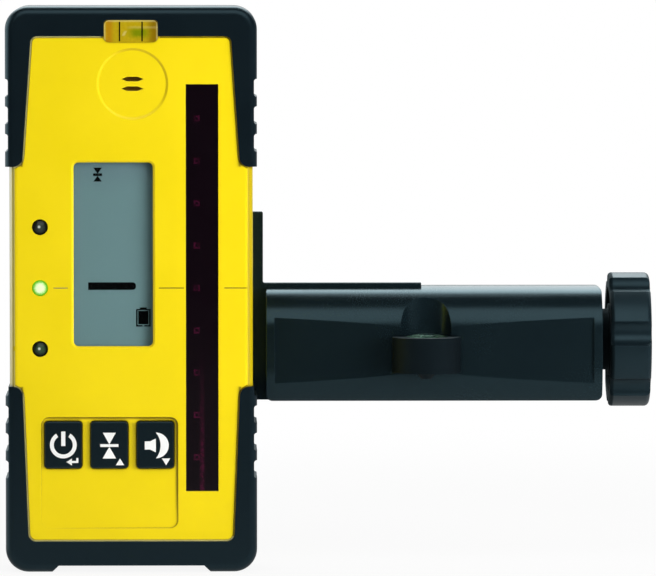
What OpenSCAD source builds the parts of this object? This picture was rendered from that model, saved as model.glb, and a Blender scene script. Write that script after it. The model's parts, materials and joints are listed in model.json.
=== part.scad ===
// Laser receiver on a rod clamp bracket, in millimetres.
// X runs to the right, Y away from the display side and Z up. The origin is the middle
// of the fixed jaw's rubber face, on the axis of the clamp screw.

/* [Receiver body] */
// Width across the rubber ends
body_w = 76; // [72:1:84]
// Height from the feet to the top of the rubber
body_h = 171; // [168:1:185]
// Distance from the top down to the on-grade line
grade_drop = 85; // [83:1:92]
// Depth of the receiver
body_d = 29; // [29:0.5:34]
// Corner radius of the rubber ends, seen from the front
corner_r = 7; // [6:0.5:9]
// Rounding of the long edges of rubber and case
edge_r = 2.5; // [1.5:0.25:3]
// Thickness of the moulded case
wall = 2; // [1.6:0.1:2.4]
// Thickness of the rubber over the case
rubber_t = 2.4; // [2.2:0.1:2.8]
// How far the yellow face lies behind the front of the rubber
face_inset = 0.6; // [0.4:0.1:1]
// How far the yellow sides lie inside the rubber
side_inset = 1.3; // [0.8:0.1:2]
// Width of the step in the yellow face along the rubber
seam_w = 0.5; // [0.3:0.1:0.7]
// Depth of that step
seam_t = 0.3; // [0.2:0.05:0.4]
// Depth of the parting line behind the front
split_d = 14; // [13:0.5:16]
// Thickness of the seal in the parting line
seal_t = 0.5; // [0.4:0.1:0.8]

/* [Rubber ends] */
// Rubber above the yellow face
band_top = 9; // [8:0.5:10]
// Rubber below the yellow face
band_bottom = 9.3; // [8:0.1:11]
// Rubber beside the face at its top corners
band_upper = 7.8; // [7:0.1:9]
// Rubber beside the face where a leg ends
band_leg = 5.1; // [4:0.1:6.5]
// Rubber beside the face at its bottom corners
band_lower = 6.9; // [6:0.1:8]
// Height of the upper rubber end
upper_leg = 48.4; // [40:0.2:54]
// Height of the lower rubber end
lower_leg = 56.2; // [48:0.2:60]
// Rounding of a leg's end
leg_r = 3; // [2:0.5:4]
// Depth of the grip grooves in the sides
grip_depth = 0.9; // [0.5:0.1:1.2]
// Height of a grip groove
grip_groove = 5.4; // [4:0.1:6]
// Distance from one grip rib to the next
grip_pitch = 8.3; // [7.5:0.1:9]
// Height of the solid end of the upper leg
grip_end = 4.5; // [3:0.1:6]
// Height of the two feet
foot_h = 2; // [1:0.25:2.5]
// Width of the relief between the feet
foot_gap = 48; // [36:1:54]

/* [Display] */
// Width of the display window
lcd_w = 23.9; // [20:0.1:26]
// Height of the display window
lcd_h = 55.5; // [48:0.5:58]
// Middle of the display window, left or right of the centre line
lcd_x = -5.4; // [-7:0.1:-4]
// Middle of the display window above the on-grade line
lcd_z = 10.15; // [6:0.05:12]
// Depth of the display lens below the yellow face
lens_step = 1.2; // [0.8:0.1:1.4]
// Thickness of the display lens
lens_t = 1; // [0.8:0.1:1.2]
// Overlap of the lens behind the window's edge
lens_lap = 1.4; // [1:0.1:1.8]
// Sloped edge round the display window
lcd_slope = 0.6; // [0.3:0.1:0.8]
// Thickness of the display panel
panel_t = 2.4; // [2:0.1:2.6]

/* [Sensor] */
// Width of the sensor window
sensor_w = 9.8; // [8:0.1:11]
// Height of the sensor window
sensor_h = 123; // [100:1:126]
// Middle of the sensor window right of the centre line
sensor_x = 21.4; // [20:0.1:22.5]
// Lap of the window's flange behind the case
sensor_lap = 1.4; // [1:0.1:1.6]
// Thickness of that flange
sensor_flange = 1.2; // [0.8:0.1:1.6]
// Distance between photodiodes
diode_pitch = 12.8; // [10:0.1:14]
// Side of a photodiode
diode_w = 5; // [4:0.1:6]
// Height of a photodiode over the board
diode_t = 1.5; // [1:0.1:2]

/* [Lamps] */
// Radius of an indicator lamp
lamp_r = 2.3; // [1.5:0.1:2.5]
// Middle of the lamps left of the centre line
lamp_x = 27.5; // [25:0.1:28]
// Distance from the on-grade lamp to the other two
lamp_pitch = 18.4; // [14:0.1:22]

/* [Keys] */
// Width of a key
key_w = 11.3; // [9:0.1:11.6]
// Height of a key
key_h = 14.3; // [12:0.1:16]
// Distance from one key to the next
key_pitch = 13.9; // [13.6:0.1:15]
// Middle of the row, left or right of the centre line
key_x = -6.65; // [-8:0.05:-5]
// Middle of the row above the feet
key_up = 38.6; // [36:0.1:42]
// Height of a key over the yellow face
key_rise = 0.8; // [0.4:0.1:1.2]
// Travel of a key
key_travel = 0.6; // [0.3:0.1:0.8]
// Deepest corner of the sloped recess round the keys
recess_t = 0.8; // [0.4:0.1:0.9]

/* [Speaker] */
// Radius of the dish round the speaker slots
speaker_r = 10.8; // [9:0.1:11]
// Middle of the speaker right of the centre line
speaker_x = 0.45; // [0:0.05:1]
// Middle of the speaker below the top
speaker_drop = 23.4; // [23:0.1:25]
// Depth of the dish
dish_t = 0.3; // [0.2:0.05:0.5]
// Width of the dish's sloped rim
dish_slope = 0.7; // [0.4:0.1:1.2]
// Length of a speaker slot
slot_l = 6.6; // [5:0.1:8]
// Length of a slot's pointed end
slot_tip = 1.7; // [0.8:0.1:2]
// Height of a speaker slot
slot_h = 1.35; // [1:0.05:1.6]
// Distance between the speaker slots
slot_pitch = 2.9; // [2.4:0.1:4]

/* [Tube level] */
// Width of the level at the top
vial_w = 15.2; // [12:0.1:18]
// Height of the level
vial_h = 5.6; // [5:0.1:6.6]
// Depth of the level block
vial_d = 6; // [5:0.1:8]
// Middle of the level below the top
vial_drop = 7.5; // [7:0.1:8]
// Yellow border under the level's front flange
vial_border = 0.6; // [0.5:0.1:1]
// Thickness of that flange
vial_lip = 0.45; // [0.3:0.05:0.5]
// Radius of the tube inside it
tube_r = 2.2; // [1.6:0.1:2.3]

/* [Inside] */
// Depth of the circuit board behind the front
board_d = 6.6; // [6.4:0.1:7]
// Thickness of the circuit board
board_t = 1.6; // [1:0.1:1.8]
// Diameter of a cell
cell_dia = 14.5; // [13.5:0.1:14.5]
// Length of a cell with its button
cell_len = 50.5; // [49:0.1:50.5]
// Thickness of the battery door
door_t = 2.4; // [2:0.1:2.6]
// Thickness of the door's seal
door_seal_t = 0.8; // [0.6:0.1:1]

/* [Bracket] */
// Space between the receiver's side and the arm
side_gap = 2.9; // [2:0.1:5]
// Thickness of the plate behind the receiver
plate_t = 4; // [3.5:0.1:5]
// Top of the plate above the on-grade line
plate_up = 21.8; // [18:0.2:28]
// Reach of the plate past the receiver's centre line
plate_reach = 16; // [14:0.5:24]
// Length of the reading edge past the fixed jaw's face
tongue_l = 36.5; // [34:0.5:44]
// Length of the arm
arm_l = 102.6; // [96:0.2:112]
// Height of the arm
arm_h = 34.9; // [34:0.1:38]
// Depth of the arm in front of the rod
arm_d = 14; // [13:0.5:15]
// Step from the arm's top up to the reading edge
edge_step = 0.8; // [0.4:0.1:1.5]
// Thickness of the wall that carries the clamp nut
end_t = 8.6; // [7:0.2:10]
// Depth of the flat panels at the ends of the arm
panel_cut = 0.8; // [0.4:0.1:1]
// Wall left in front of the pockets behind the arm
arm_wall = 3; // [2.5:0.1:4]
// Thickness of the ribs of arm and jaws
rib_t = 2.4; // [1.8:0.1:3]
// Reach of the ribs between plate and fixed jaw
gusset_l = 16; // [10:0.5:18]

/* [Clamp] */
// Opening between the pads with the clamp screwed in
rod_gap = 25; // [22:0.5:28]
// Travel of the sliding jaw
jaw_travel = 42; // [20:1:42]
// Distance from the rod's seat back to the clamp screw
screw_back = 13; // [11.5:0.5:16]
// Thickness of the fixed jaw
fixed_t = 9; // [7:0.5:11]
// Thickness of the sliding jaw
jaw_t = 12; // [11:0.5:13]
// Thickness of the sliding jaw's face plate
jaw_face = 5; // [4:0.5:6]
// Reach of both jaws behind the rod's seat
jaw_reach = 30; // [27:0.5:34]
// Height of both jaws
jaw_h = 30; // [26:0.5:34]
// Thickness of a rubber pad
pad_t = 2; // [1.5:0.1:3]
// Radius of the clamp screw
screw_r = 5; // [4:0.1:5.5]
// Radius of the screw's journal in the jaw
journal_r = 3.5; // [2.5:0.1:3.7]
// Width of the key that keeps the jaw upright
guide_w = 6; // [4:0.1:8]
// Running clearance of shafts
run_gap = 0.05; // [0.02:0.01:0.08]
// Sliding clearance of flat guides and keys
slide_gap = 0.15; // [0.1:0.05:0.3]

/* [Clamp knob] */
// Radius over the lobes
knob_r = 20.6; // [18:0.1:23]
// Thickness of the knob
knob_t = 12.5; // [10:0.5:15]
// Gap between the arm and the knob's rim
knob_gap = 3; // [2.5:0.1:6]
// Radius of the hub
hub_r = 9.4; // [8:0.1:11]
// Number of lobes
lobes = 7; // [5:1:9]
// Radius of the hollows between lobes
scallop_r = 4.2; // [3:0.1:5]
// Depth of those hollows
scallop_depth = 2.6; // [2.4:0.1:3.4]
// Angle at which the front hollow stands above the middle
lobe_turn = 8; // [0:1:50]

/* [Round level] */
// Distance from the arm's left end to the level
level_in = 48.7; // [40:0.1:56]
// Radius of the level's cup
level_r = 10.5; // [9.5:0.1:11]
// Height of the cup
level_h = 10.8; // [9:0.1:12]
// Top of the cup below the on-grade line
level_drop = 15.7; // [15:0.1:18]
// Radius of the niche above the cup
niche_r = 8.5; // [7.5:0.1:9]
// Distance of the level's axis in front of the arm
level_front = 3.5; // [3:0.1:5]
// Radius of the glass
glass_r = 6.6; // [5:0.1:7]

/* [Receiver lock] */
// Radius of the locking screw
lock_r = 3; // [2.5:0.1:3.5]
// Grip of the locking screw in the receiver
lock_grip = 7; // [5:0.5:8]
// Radius of the locking knob
lock_knob_r = 12; // [10:0.5:14]
// Height of the locking knob
lock_knob_h = 12; // [9:0.5:15]
// Middle of the lock below the on-grade line
lock_drop = 7; // [4:0.5:9]
// Distance from the lock to each locating pin
pin_offset = 17; // [15:0.5:20]
// Radius of a locating pin
pin_r = 2; // [1.5:0.1:2.5]
// Height of a locating pin
pin_h = 2.5; // [2:0.1:3]

/* [Hidden] */
$fn = 64;

yellow = [0.93, 0.78, 0.05];
black = [0.1, 0.12, 0.13];
dark_rubber = [0.13, 0.15, 0.16];
steel = [0.7, 0.71, 0.72];
brass = [0.78, 0.62, 0.28];
clear = [0.85, 0.9, 0.88];
liquid = [0.75, 0.75, 0.12];

// Extra length of a cut past the face it opens
cut = 1;
// Clearance of pieces that are pressed or screwed together
fit_gap = 0.05;
// Clearance round the shank and head of a screw
screw_gap = 0.2;
// Depth to which a boss or rib is rooted in its wall
root = 0.5;

// Places of the receiver and of the arm
seat_y = -screw_back;
plate_front = seat_y - plate_t;
receiver_front = plate_front - body_d;
arm_x0 = -pad_t - fixed_t;
arm_x1 = arm_x0 + arm_l;
receiver_x = arm_x0 - side_gap - body_w / 2;
arm_top = arm_h / 2;
arm_bottom = -arm_h / 2;
arm_front = seat_y - arm_d;
grade_z = arm_top + edge_step;

// Heights in the receiver, from the on-grade line
body_top = grade_drop;
body_bottom = grade_drop - body_h;
face_top = body_top - band_top;
face_bottom = body_bottom + band_bottom;
upper_end = body_top - upper_leg;
lower_end = body_bottom + lower_leg;
speaker_z = body_top - speaker_drop;
vial_z = body_top - vial_drop;
key_z = body_bottom + key_up;

// Depths in the receiver, from the front of the rubber
wall_in = face_inset + wall;
core_wall = rubber_t + wall;
lens_d = face_inset + lens_step;
panel_d = lens_d + lens_t;
backlight_d = panel_d + panel_t;
back_in = body_d - wall;
board_back = board_d + board_t;

// Widths and heights of the case under the rubber
core_w = body_w - 2 * rubber_t;
core_top = body_top - rubber_t;
core_bottom = body_bottom + foot_h + rubber_t;
case_w = body_w - 2 * side_inset;
core_r = corner_r - rubber_t;
thin_half = body_w / 2 - band_upper - 1;
face_r = 2;
face_low_r = 2.4;
tab_r = 1;
tab_half = vial_w / 2 + vial_border;
tab_top = vial_z + vial_h / 2 + vial_border;

// Board and its screws
board_half = core_w / 2 - wall - 2.4;
board_top = sensor_h / 2 + 1.6;
board_bottom = body_bottom + 8.5;
board_screw_r = 1;
board_boss_r = 2.4;
board_left = lcd_x - lcd_w / 2 - lens_lap - board_boss_r - 1;
board_right = sensor_x - sensor_w / 2 - sensor_lap - board_boss_r - 0.6;
board_high = lcd_z + lcd_h / 2 + lens_lap + board_boss_r + 0.8;
board_low = key_z + key_h / 2 + 10;
board_holes = [for (u = [board_left, board_right]) for (z = [board_low, board_high]) [u, z]];

// Battery tray
tray_wall = 1.5;
cell_play = 0.4;
tray_low = face_bottom + 4.2;
tray_h = 2 * cell_dia + 3 * cell_play;
tray_high = tray_low + tray_h;
contact_t = 0.5;
contact_l = 2.6;
tray_half = cell_len / 2 + contact_l;
tray_front = board_back + 1.5;
tray_floor = tray_front + tray_wall;
door_in = body_d - door_t;
ledge_d = door_in - door_seal_t;
cell_d = (tray_floor + ledge_d) / 2;
seal_w = 1.3;
door_half = tray_half + seal_w + 0.1;
hinge_z = tray_low - seal_w - 0.5;
hinge_r = door_t / 2;
hinge_d = body_d - hinge_r;
door_top = tray_high + seal_w + 0.4;
trunnion_r = 0.8;
trunnion_l = 1;
hinge_block = trunnion_l + root;
hinge_over = 2.5;
hinge_under = 1.2;

// Case screws, two at the top and two over the battery door
screw_boss_r = 3;
case_screw_r = 1.3;
case_head_r = 2.5;
case_head_t = 2;
screw_sink = 3;
upper_screw_x = 25;
upper_screw_z = body_top - 15;
lower_screw_x = core_w / 2 - wall - screw_boss_r + 0.4;
lower_screw_z = lower_end + leg_r + case_head_r;
case_holes = [
    [-upper_screw_x, upper_screw_z], [upper_screw_x, upper_screw_z],
    [-lower_screw_x, lower_screw_z], [lower_screw_x, lower_screw_z]];

// Keys behind the face
key_flange = 1;
key_flange_t = 1;
key_stem_r = 2;
key_flange_d = wall_in + slide_gap;
key_stem_end = key_flange_d + key_flange_t + 1.45;
switch_top = key_stem_end + key_travel + 0.1;
mat_top = key_flange_d + key_flange_t + key_travel + 0.1;
mat_t = 0.5;
mat_ring_r = 5;
mat_ring_w = 1;
switch_w = 4.6;
switch_base = 0.4;
switch_r = 1.6;

// Lock between plate and receiver
lock_z = -lock_drop;
insert_r = 5;
insert_l = lock_grip + 1;
insert_d = body_d - insert_l;
washer_r = 9;
washer_t = 1.2;

// Clamp: the jaw, its screw and the knob
jaw_x0 = rod_gap + pad_t;
jaw_x1 = jaw_x0 + jaw_t;
jaw_wall = 4;
clip_r = 6;
clip_t = 1.1;
clip_gap = 0.1;
clip_x = jaw_x1 - jaw_wall - clip_gap - clip_t;
clip_groove_r = journal_r - 0.9;
journal_x = jaw_x0 + 2.4;
socket_r = clip_r + 1;
end_x = arm_x1 - end_t;
end_r = 15;
nut_r = screw_r + 3;
hub_x = arm_x1 + 0.3;
knob_x = arm_x1 + knob_gap;
knob_end = knob_x + knob_t;
cap_r = 9;
cap_t = 1.4;
cap_rise = 0.8;
bore_end = knob_end - cap_t - 1;
guide_depth = plate_t - 0.4;
guide_end = jaw_x1 + jaw_travel + slide_gap;
guide_wall = 2.5;
boss_r = socket_r + 2.5;
jaw_inset = 2;

// Round level on the arm
level_x = arm_x0 + level_in;
level_y = arm_front - level_front;
level_top = grade_z - level_drop;
level_low = level_top - level_h;
glass_t = 2;
level_floor = 2.2;
foot_screw_r = 3.1;
foot_screw_tip = 1.6;
foot_screw_h = 2;
foot_shank_r = 1.2;

// Moves into the receiver: u across, d from the front, z from the on-grade line
module in_receiver() {
    translate([receiver_x, receiver_front, grade_z]) children();
}

// An outline seen from the front, given a depth
module depth_prism(d0, d1) {
    translate([0, d1, 0]) rotate([90, 0, 0]) linear_extrude(d1 - d0) children();
}

// A round bar along the depth
module depth_rod(u, z, d0, d1, r) {
    translate([u, d1, z]) rotate([90, 0, 0]) cylinder(h = d1 - d0, r = r);
}

// An outline seen from the right end, given a length
module along_x(x0, x1) {
    translate([x0, 0, 0]) rotate([90, 0, 90]) linear_extrude(x1 - x0) children();
}

// A round bar along X
module x_rod(x0, x1, r) {
    translate([x0, 0, 0]) rotate([0, 90, 0]) cylinder(h = x1 - x0, r = r);
}

// A rectangle between two corners
module rect(x0, y0, x1, y1) {
    translate([x0, y0]) square([x1 - x0, y1 - y0]);
}

// A rectangle with round corners about the origin
module rounded_rect(w, h, r) {
    square([w - 2 * r, h], center = true);
    square([w, h - 2 * r], center = true);
    for (x = [-1, 1])
        for (y = [-1, 1])
            translate([x * (w / 2 - r), y * (h / 2 - r)]) circle(r);
}

// A rectangle with round corners between two corners
module rounded_box(x0, y0, x1, y1, r) {
    translate([(x0 + x1) / 2, (y0 + y1) / 2]) rounded_rect(x1 - x0, y1 - y0, r);
}

// The sliver between a corner at p, its neighbours a and b, and an arc of radius r
function toward(p, q) = (q - p) / norm(q - p);
module corner_sliver(p, a, b, r) {
    da = toward(p, a);
    db = toward(p, b);
    half = acos(da * db) / 2;
    run = r / tan(half);
    centre = p + (da + db) / norm(da + db) * r / sin(half);
    difference() {
        polygon([p, p + da * run, centre, p + db * run]);
        translate(centre) circle(r);
    }
}

// Points of the arc that rounds such a corner, from the side of a to the side of b
function corner_arc(p, a, b, r) =
    let (
        da = toward(p, a), db = toward(p, b), half = acos(da * db) / 2, run = r / tan(half),
        centre = p + (da + db) / norm(da + db) * r / sin(half),
        from = p + da * run - centre, to = p + db * run - centre)
    [for (k = [0:0.25:1]) centre + r * toward([0, 0], from * (1 - k) + to * k)];

// Carries a profile of radius and depth round a rounded rectangle
module edge_ring(w, h, r) {
    x = w / 2 - r;
    y = h / 2 - r;
    rotate([90, 0, 0]) for (turn = [0, 180]) rotate([0, 0, turn]) {
        translate([x, y, 0]) rotate([90, 0, 0]) linear_extrude(2 * y) children();
        translate([x, y, 0]) rotate_extrude(angle = 90) children();
        rotate([0, 0, 90]) {
            translate([y, x, 0]) rotate([90, 0, 0]) linear_extrude(2 * x) children();
            translate([y, x, 0]) rotate_extrude(angle = 90) children();
        }
    }
}

// Edge profile of a slab: front edge rounded by rf, back edge by rb
module slab_edge(r, d0, d1, rf, rb) {
    difference() {
        rect(0, -d1, r, -d0);
        if (rf > 0) corner_sliver([r, -d0], [0, -d0], [r, -d1], rf);
        if (rb > 0) corner_sliver([r, -d1], [0, -d1], [r, -d0], rb);
    }
}

// A slab from depth d0 to d1 with corners of radius r and rounded edges
module slab(w, h, d0, d1, r, rf, rb) {
    depth_prism(d0, d1) square([w - 2 * r, h - 2 * r], center = true);
    edge_ring(w, h, r) slab_edge(r, d0, d1, rf, rb);
}

// A slab between two heights
module slab_between(w, low, high, d0, d1, r, rf, rb) {
    translate([0, 0, (low + high) / 2]) slab(w, high - low, d0, d1, r, rf, rb);
}

// Corners of one half of the yellow region between the rubber ends, drawn in by t, from the top down
function face_corners(side, t) =
    let (
        wide = side * (body_w / 2 + cut), tab = side * (tab_half - t),
        upper = side * (body_w / 2 - band_upper - t), leg = side * (body_w / 2 - band_leg - t),
        lower = side * (body_w / 2 - band_lower - t))
    [
        [0, tab_top - t], [tab, tab_top - t], [tab, face_top - t], [upper, face_top - t],
        [leg, upper_end - t], [wide, upper_end - t], [wide, lower_end + t], [leg, lower_end + t],
        [lower, face_bottom + t], [0, face_bottom + t]];

// Front outline of the yellow region
module face_outline() {
    for (side = [-1, 1]) {
        c = face_corners(side, 0);
        difference() {
            polygon(c);
            corner_sliver(c[1], c[0], c[2], tab_r);
            corner_sliver(c[3], c[2], c[4], face_r);
            corner_sliver(c[8], c[7], c[9], face_low_r);
        }
        corner_sliver(c[4], c[3], c[5], leg_r);
        corner_sliver(c[7], c[8], c[6], leg_r);
    }
}

// The same outline inside the step along the rubber
module raised_face() {
    for (side = [-1, 1]) {
        c = face_corners(side, seam_w);
        polygon([
            c[0], c[1], c[2], each corner_arc(c[3], c[2], c[4], face_r - seam_w),
            each corner_arc(c[4], c[3], c[5], leg_r + seam_w), c[5], c[6],
            each corner_arc(c[7], c[6], c[8], leg_r + seam_w),
            each corner_arc(c[8], c[7], c[9], face_low_r - seam_w), c[9]]);
    }
}

// Outside of the rubber, with feet and grip grooves
module rubber_form() {
    difference() {
        slab_between(body_w, body_bottom, body_top, 0, body_d, corner_r, edge_r, edge_r);
        depth_prism(-cut, body_d + cut)
            polygon([
                [-foot_gap / 2, body_bottom - cut], [foot_gap / 2, body_bottom - cut],
                [foot_gap / 2, body_bottom], [foot_gap / 2 - foot_h, body_bottom + foot_h],
                [foot_h - foot_gap / 2, body_bottom + foot_h], [-foot_gap / 2, body_bottom]]);
        for (i = [0:2]) grip_grooves(upper_end + grip_end + i * grip_pitch);
        for (i = [0:3]) grip_grooves(lower_end + grip_groove - grip_pitch * (i + 1));
    }
}

// One groove in each side, from height low upwards
module grip_grooves(low) {
    for (side = [-1, 1])
        depth_prism(-cut, body_d + cut)
            translate([side * (body_w / 2 + corner_r - grip_depth), low + grip_groove / 2])
                rounded_rect(2 * corner_r, grip_groove, 0.8);
}

// Case under the rubber, with the yellow region brought out to full size
module case_form() {
    slab_between(core_w, core_bottom, core_top, rubber_t, body_d - rubber_t, core_r, 1, 1);
    intersection() {
        slab_between(case_w, body_bottom + 1, body_top - 1, face_inset, body_d, corner_r, edge_r, edge_r);
        depth_prism(0, body_d) face_outline();
    }
}

// Hollow of the case
module case_hollow() {
    depth_prism(core_wall, back_in)
        rounded_box(
            wall - core_w / 2, core_bottom + wall, core_w / 2 - wall, core_top - wall, core_r - wall);
    depth_prism(wall_in, core_wall + cut)
        rect(-thin_half, face_bottom + wall, thin_half, face_top - wall);
}

// Space in front of, or behind, the parting line
module split_half(d0, d1) {
    depth_prism(d0, d1) square([2 * body_w, 3 * body_h], center = true);
}

// A speaker slot with pointed ends
module speaker_slot() {
    end = slot_l / 2;
    flat = end - slot_tip;
    half = slot_h / 2;
    polygon([[-end, 0], [-flat, half], [flat, half], [end, 0], [flat, -half], [-flat, -half]]);
}

// Sloped recess round the keys, deepest at its upper right corner
module key_recess() {
    left = key_x - key_pitch - key_w / 2 - 1;
    right = key_x + key_pitch + key_w / 2 + 1.2;
    high = key_z + key_h / 2 + 1.2;
    low = face_bottom + 4;
    fall = recess_t / 2;
    lean = atan(fall / (high - low));
    swing = atan(fall / (right - left));
    intersection() {
        depth_prism(-cut, face_inset + recess_t) rounded_box(left, low, right, high, 2.4);
        translate([right, face_inset + recess_t, high])
            rotate([-lean, 0, swing])
                translate([-2 * body_w, -4 * cut, -2 * body_w])
                    cube([3 * body_w, 4 * cut, 3 * body_w]);
    }
}

// Openings and recesses of the front face
module face_cuts() {
    lcd_r = 1.5;
    lcd_reach = lcd_slope + cut;
    translate([lcd_x, 0, lcd_z]) {
        depth_prism(0, wall_in + cut) rounded_rect(lcd_w, lcd_h, lcd_r);
        edge_ring(lcd_w, lcd_h, lcd_r) translate([lcd_r, -face_inset])
            polygon([[lcd_reach, cut], [-cut, -lcd_reach], [-cut, cut]]);
        depth_prism(lens_d, core_wall + cut)
            rounded_rect(lcd_w + 2 * lens_lap + 2 * fit_gap, lcd_h + 2 * lens_lap + 2 * fit_gap, 2);
    }
    translate([sensor_x, 0, 0])
        depth_prism(0, core_wall + cut) square([sensor_w, sensor_h], center = true);
    for (i = [-1:1]) depth_rod(-lamp_x, i * lamp_pitch, 0, core_wall + cut, lamp_r + 0.1);
    for (i = [-1:1])
        translate([key_x + i * key_pitch, 0, key_z])
            depth_prism(0, core_wall + cut) rounded_rect(key_w + 2 * slide_gap, key_h + 2 * slide_gap, 1.2);
    key_recess();
    for (side = [-0.5, 0.5])
        translate([speaker_x, 0, speaker_z + side * slot_pitch])
            depth_prism(0, wall_in + cut) speaker_slot();
    translate([speaker_x, face_inset + dish_t, speaker_z]) rotate([90, 0, 0])
        cylinder(h = 2 * dish_t, r1 = speaker_r - dish_slope, r2 = speaker_r + dish_slope);
    depth_prism(-cut, face_inset + seam_t) difference() {
        face_outline();
        raised_face();
        rect(-tab_half - seam_w, face_top - seam_w, tab_half + seam_w, tab_top + cut);
    }
    lcd_edge = lcd_w / 2 + 1.8;
    for (span = [
            [-lamp_x + lamp_r + 1.8, lcd_x - lcd_edge], [lcd_x + lcd_edge, sensor_x - sensor_w / 2 - 0.6],
            [sensor_x + sensor_w / 2 + 1.8, case_w / 2 - edge_r + 1]])
        depth_prism(0, face_inset + 0.25) rect(span[0], -0.15, span[1], 0.15);
}

// Pocket and housing of the tube level
module vial_room(grow, d0, d1) {
    translate([0, 0, vial_z])
        depth_prism(d0, d1) rounded_rect(vial_w + 2 * grow, vial_h + 2 * grow, 1 + grow);
}

module front_case() {
    color(yellow) in_receiver() difference() {
        union() {
            difference() {
                intersection() {
                    case_form();
                    split_half(-cut, split_d - seal_t / 2);
                }
                case_hollow();
            }
            for (p = case_holes) depth_rod(p[0], p[1], wall_in - root, split_d - seal_t / 2, screw_boss_r);
            for (p = board_holes) depth_rod(p[0], p[1], wall_in - root, board_d, board_boss_r);
            vial_room(vial_wall, rubber_t, vial_front + vial_d + vial_wall);
        }
        face_cuts();
        vial_room(fit_gap, 0, vial_front + vial_d);
        for (p = case_holes) depth_rod(p[0], p[1], core_wall + 2.6, split_d, case_screw_r + fit_gap);
        for (p = board_holes) depth_rod(p[0], p[1], wall_in + 1, board_d + cut, board_screw_r + fit_gap);
    }
}

// Battery tray with the hinge sockets of its door
module tray_form() {
    depth_prism(tray_front, ledge_d)
        rect(-tray_half - tray_wall, tray_low - tray_wall, tray_half + tray_wall, tray_high + tray_wall);
    for (side = [-1, 1])
        depth_prism(tray_floor, back_in + root)
            translate([side * (door_half + hinge_block / 2), hinge_z + (hinge_over - hinge_under) / 2])
                square([hinge_block, hinge_over + hinge_under], center = true);
}

module rear_case() {
    color(yellow) in_receiver() difference() {
        union() {
            difference() {
                intersection() {
                    case_form();
                    split_half(split_d + seal_t / 2, body_d + cut);
                }
                case_hollow();
            }
            for (p = case_holes) depth_rod(p[0], p[1], split_d + seal_t / 2, back_in + root, screw_boss_r);
            depth_rod(0, lock_z, insert_d - 1.5, back_in + root, insert_r + 2);
            for (side = [-1, 1])
                depth_rod(0, lock_z + side * pin_offset, body_d - pin_h - 2, back_in + root, pin_r + 1.8);
            tray_form();
        }
        depth_prism(tray_floor, body_d + cut) rect(-tray_half, tray_low, tray_half, tray_high);
        door_opening();
        depth_rod(0, lock_z, insert_d, body_d + cut, insert_r);
        for (side = [-1, 1])
            depth_rod(0, lock_z + side * pin_offset, body_d - pin_h - 0.5, body_d + cut, pin_r + slide_gap);
        for (p = case_holes) {
            depth_rod(p[0], p[1], split_d, body_d + cut, case_screw_r + 0.2);
            depth_rod(p[0], p[1], body_d - screw_sink, body_d + cut, case_head_r + 0.2);
        }
    }
}

// Space that the door and its trunnions need in the rear case
module door_opening() {
    low = hinge_z - hinge_r - slide_gap;
    depth_prism(ledge_d, body_d + cut)
        rect(-tray_half - seal_w - 0.1, hinge_z, tray_half + seal_w + 0.1, tray_high + seal_w + 0.1);
    depth_prism(door_in - slide_gap, body_d + cut)
        rect(-door_half - slide_gap, low, door_half + slide_gap, door_top + slide_gap);
    translate([-door_half - trunnion_l - slide_gap, hinge_d, hinge_z])
        x_rod(0, 2 * (door_half + trunnion_l + slide_gap), trunnion_r + run_gap);
}

module battery_door() {
    grip_w = 16;
    scoop_r = 6;
    scoop_depth = 1;
    color(yellow) in_receiver() difference() {
        union() {
            depth_prism(door_in, body_d) rect(-door_half, hinge_z, door_half, door_top);
            translate([-door_half, hinge_d, hinge_z]) x_rod(0, 2 * door_half, hinge_r);
            translate([-door_half - trunnion_l, hinge_d, hinge_z])
                x_rod(0, 2 * (door_half + trunnion_l), trunnion_r);
        }
        translate([-grip_w / 2, body_d + scoop_r - scoop_depth, door_top - scoop_r + scoop_depth])
            x_rod(0, grip_w, scoop_r);
    }
}

module door_seal() {
    color(dark_rubber) in_receiver() depth_prism(ledge_d, door_in) difference() {
        rect(-tray_half - seal_w, tray_low - seal_w, tray_half + seal_w, tray_high + seal_w);
        rect(-tray_half, tray_low, tray_half, tray_high);
    }
}

// Middles of the two cells
cell_places = [for (i = [0, 1]) tray_low + cell_play + cell_dia / 2 + i * (cell_dia + cell_play)];

module batteries() {
    button_l = 1.5;
    color(steel) in_receiver() for (i = [0, 1])
        translate([0, cell_d, cell_places[i]]) rotate([0, 0, 180 * i]) {
            x_rod(-cell_len / 2, cell_len / 2 - button_l, cell_dia / 2);
            x_rod(cell_len / 2 - button_l - 0.1, cell_len / 2, 2.75);
        }
}

module battery_contacts() {
    plate_half = cell_dia / 2 - 1;
    color(steel) in_receiver() for (z = cell_places) for (side = [0, 180])
        translate([0, cell_d, z]) rotate([0, 0, side]) {
            translate([tray_half - contact_t, -plate_half, -plate_half])
                cube([contact_t, 2 * plate_half, 2 * plate_half]);
            translate([cell_len / 2, 0, 0])
                rotate([0, 90, 0]) cylinder(h = contact_l - contact_t, r1 = 2.2, r2 = 4.5);
        }
}

module case_seal() {
    color(dark_rubber) in_receiver() depth_prism(split_d - seal_t / 2, split_d + seal_t / 2) difference() {
        rounded_box(-core_w / 2, core_bottom, core_w / 2, core_top, core_r);
        rounded_box(
            wall - core_w / 2, core_bottom + wall, core_w / 2 - wall, core_top - wall, core_r - wall);
    }
}

module top_bumper() {
    color(dark_rubber) in_receiver() difference() {
        intersection() {
            rubber_form();
            depth_prism(-cut, body_d + cut) rect(-body_w, 0, body_w, body_top + cut);
        }
        depth_prism(-cut, body_d + cut) face_outline();
        slab_between(core_w, core_bottom, core_top, rubber_t, body_d - rubber_t, core_r, 1, 1);
    }
}

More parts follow.
